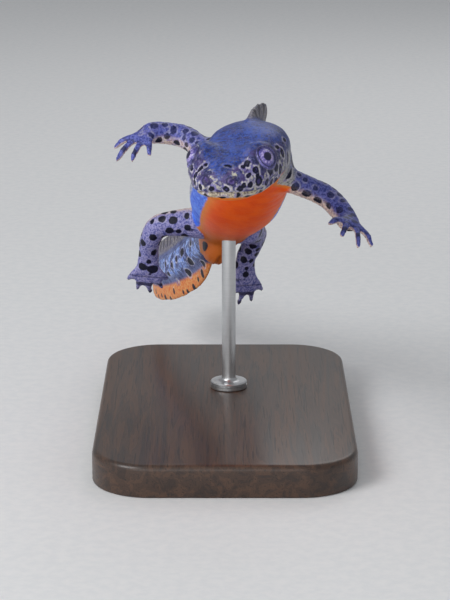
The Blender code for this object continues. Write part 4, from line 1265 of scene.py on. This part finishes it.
def finished_piece(name, bm, paint, node):
    """Makes a mesh into a painted piece that stands for one node, and gives back the mesh."""
    bmesh.ops.scale(bm, verts=bm.verts[:], vec=(MM, MM, MM))
    mesh = bpy.data.meshes.new(name)
    bm.to_mesh(mesh)
    bm.free()
    mesh.shade_smooth()
    mesh.materials.append(paint)
    piece = bpy.data.objects.new(name, mesh)
    bpy.context.scene.collection.objects.link(piece)
    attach(piece, "root")
    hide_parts(node)
    return mesh


for left, side_name in zip(SIDES, ("left", "right")):
    centre, look = eye_centre(left), eye_axis(left)
    bm = bmesh.new()
    bmesh.ops.create_uvsphere(bm, u_segments=EYE_SIDES, v_segments=EYE_RINGS, radius=EYE_RADIUS)
    facing = look.to_track_quat("Z", "Y").to_matrix().to_4x4()
    from_axis, east, north = [], [], []
    for v in bm.verts:
        across = math.hypot(v.co.x, v.co.y) / EYE_RADIUS
        from_axis.append(across if v.co.z > 0 else 2 - across)
        east.append(v.co.x / max(across * EYE_RADIUS, 1e-6))
        north.append(v.co.y / max(across * EYE_RADIUS, 1e-6))
        if v.co.z > 0:
            v.co.z += CORNEA_RISE * EYE_RADIUS * max(0.0, 1 - (across / CORNEA) ** 2)
    bmesh.ops.transform(bm, verts=bm.verts[:], matrix=Matrix.Translation(centre) @ facing)
    node = "eye_" + side_name
    mesh = finished_piece("eyeball_" + side_name, bm, eye_paint, node)
    for name, values in (("from_axis", from_axis), ("eye_east", east), ("eye_north", north)):
        mesh.attributes.new(name, "FLOAT", "POINT").data.foreach_set("value", values)

# The stand's plate: a slip of dark stained walnut with rounded corners. It is sanded, its upper
# edge is rounded over with a plane, and a satin lacquer closes the grain.
BASE_LENGTH, BASE_WIDTH, BASE_THICKNESS = 44.0, 27.0, 3.4
BASE_CORNER, BASE_SOFTENING, BASE_UNDERCUT = 6.0, 0.6, 0.25
CORNER_STEPS, SOFTENING_STEPS, UNDERCUT_STEPS = 16, 6, 2
bm = bmesh.new()
bmesh.ops.create_cube(bm, size=1)
bmesh.ops.scale(bm, verts=bm.verts[:], vec=(BASE_WIDTH, BASE_LENGTH, BASE_THICKNESS))
bmesh.ops.translate(bm, verts=bm.verts[:], vec=(0, 0, BASE_THICKNESS / 2))
upright = [e for e in bm.edges if abs(e.verts[0].co.z - e.verts[1].co.z) > 1]
bmesh.ops.bevel(
    bm, geom=upright, offset=BASE_CORNER, segments=CORNER_STEPS, profile=0.5, affect="EDGES",
    material=-1,
)
for height, offset, steps in (
    (BASE_THICKNESS, BASE_SOFTENING, SOFTENING_STEPS), (0.0, BASE_UNDERCUT, UNDERCUT_STEPS),
):
    rim = [e for e in bm.edges if all(abs(v.co.z - height) < 0.01 for v in e.verts)]
    bmesh.ops.bevel(
        bm, geom=rim, offset=offset, segments=steps, profile=0.5, affect="EDGES", material=-1
    )

wood, shader, w = finish_named(
    "stained_walnut", {"Coat Roughness": 0.22, "IOR": 1.5, "Coat Weight": 0.35}
)
figure = w.noise(w.place(1300, 70, 1300), 0.5, 4.0, 0.6, 1.4)
lines = (figure * 60.0).math("SINE", 0.0)
pores = w.noise(w.place(5200, 190, 5200), 1.0, 2.0, 0.5)
wood_tone = (lines * 0.05 + figure).tones(0.3, 0.7, (46, 32, 25), (82, 57, 41))
wood_tone = (pores.eased(0.58, 0.68) * 0.7).colour(wood_tone, tint(20, 13, 10))
relief = w.bump(pores.eased(0.7, 0.55), 0.25, 0.00004)
feed(shader, {"Base Color": wood_tone, "Roughness": 0.4 + figure * 0.2, "Normal": relief})
SHARP = math.radians(40)  # edges that turn by more than this stay crisp
plate_mesh = finished_piece("base_plate", bm, wood, "stand_base")
plate_mesh.set_sharp_from_angle(angle=SHARP)

# The rod: bright steel, turned in a lathe. Its foot is a collar with a groove and a fillet, let
# down on the plate, and its upper end is pinned into the belly.
ROD_RADIUS, ROD_STATION, ROD_PIN, ROD_FILLET = 0.75, 36.5, 0.35, 0.45
COLLAR_RADIUS, COLLAR_HEIGHT = 2.0, 0.8
ROD_SIDES, FILLET_STEPS = 64, 6
rod_top = SPINE.frame(ROD_STATION).at.z - drop(ROD_STATION) + ROD_PIN
foot = BASE_THICKNESS
edge, groove, rise_of_foot = 0.1, 0.14, foot + COLLAR_HEIGHT
outline = [
    (COLLAR_RADIUS - edge, foot), (COLLAR_RADIUS, foot + edge),
    (COLLAR_RADIUS, foot + 0.42), (COLLAR_RADIUS - groove, foot + 0.46),
    (COLLAR_RADIUS - groove, foot + 0.54), (COLLAR_RADIUS, foot + 0.58),
    (COLLAR_RADIUS, rise_of_foot - edge), (COLLAR_RADIUS - edge, rise_of_foot),
]
for step in range(FILLET_STEPS + 1):
    turn = math.radians(90 * step / FILLET_STEPS)
    inward, upward = 1 - math.sin(turn), 1 - math.cos(turn)
    outline.append((ROD_RADIUS + ROD_FILLET * inward, rise_of_foot + ROD_FILLET * upward))
outline += [(ROD_RADIUS, height) for height in stations(foot + 2, rod_top, 1.0)]
axis = SPINE.frame(ROD_STATION).at
rings = []
for radius, height in outline:
    at = Vector((axis.x, axis.y, height))
    frame_here = Frame(at, Vector((0, 0, 1)), Vector((1, 0, 0)), Vector((0, 1, 0)))
    rings.append(round_ring(frame_here, radius))
bm = loft(rings, ROD_SIDES)
bmesh.ops.recalc_face_normals(bm, faces=bm.faces[:])

steel, shader, w = finish_named("turned_steel", {"Metallic": 1.0})
tool_marks = w.noise(w.place(90, 90, 22000), 1.0, 3.0, 0.6)
smear = w.noise(w.place(700, 700, 260), 1.0, 3.0, 0.5)
steel_tone = (tool_marks * 0.4 + smear * 0.6).tones(0.3, 0.7, (188, 189, 191), (208, 209, 210))
feed(shader, {
    "Base Color": steel_tone,
    "Roughness": 0.2 + smear * 0.12 + tool_marks * 0.14,
    "Normal": w.bump(tool_marks, 0.05, 0.00001),
})
rod_mesh = finished_piece("rod", bm, steel, "stand_rod")
rod_mesh.set_sharp_from_angle(angle=SHARP)

# The floor is a sheet of pale matt paper, wide enough for the picture from every side. The
# light is a studio's: one soft key from the upper left, a weaker fill and a faint rim behind.
FLOOR_HALF = 1200.0
bm = bmesh.new()
bmesh.ops.create_grid(bm, x_segments=1, y_segments=1, size=FLOOR_HALF * MM)
floor_mesh = bpy.data.meshes.new("floor")
bm.to_mesh(floor_mesh)
bm.free()
floor = bpy.data.objects.new("floor", floor_mesh)
bpy.context.scene.collection.objects.link(floor)
paper, shader, w = finish_named("pale_paper", {"Roughness": 0.95, "Specular IOR Level": 0.2})
fibres = w.noise(w.place(1, 1, 1), 900.0, 3.0, 0.6)
paper_tone = fibres.tones(0.3, 0.7, (228, 229, 230), (234, 234, 234))
feed(shader, {"Base Color": paper_tone})
floor_mesh.materials.append(paper)
floor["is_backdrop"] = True

world = bpy.data.worlds.new("studio")
bpy.context.scene.world = world
world.use_nodes = True
world.node_tree.nodes["Background"].inputs["Color"].default_value = (0.85, 0.87, 0.9, 1)
world.node_tree.nodes["Background"].inputs["Strength"].default_value = 0.4
bpy.context.scene.view_settings.view_transform = "Standard"


def lamp(name, size, power, at, towards):
    data = bpy.data.lights.new(name, "AREA")
    data.size = size * MM
    data.energy = power
    made = bpy.data.objects.new(name, data)
    made.location = Vector(at) * MM
    made.rotation_euler = (Vector(towards) - Vector(at)).to_track_quat("-Z", "Y").to_euler()
    bpy.context.scene.collection.objects.link(made)


lamp("key", 150, 0.62, (-210, -170, 220), (0, -10, 25))
lamp("fill", 260, 0.3, (-80, -300, 40), (0, 0, 25))
lamp("rim", 150, 0.12, (60, 220, 200), (0, 0, 20))

low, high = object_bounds()
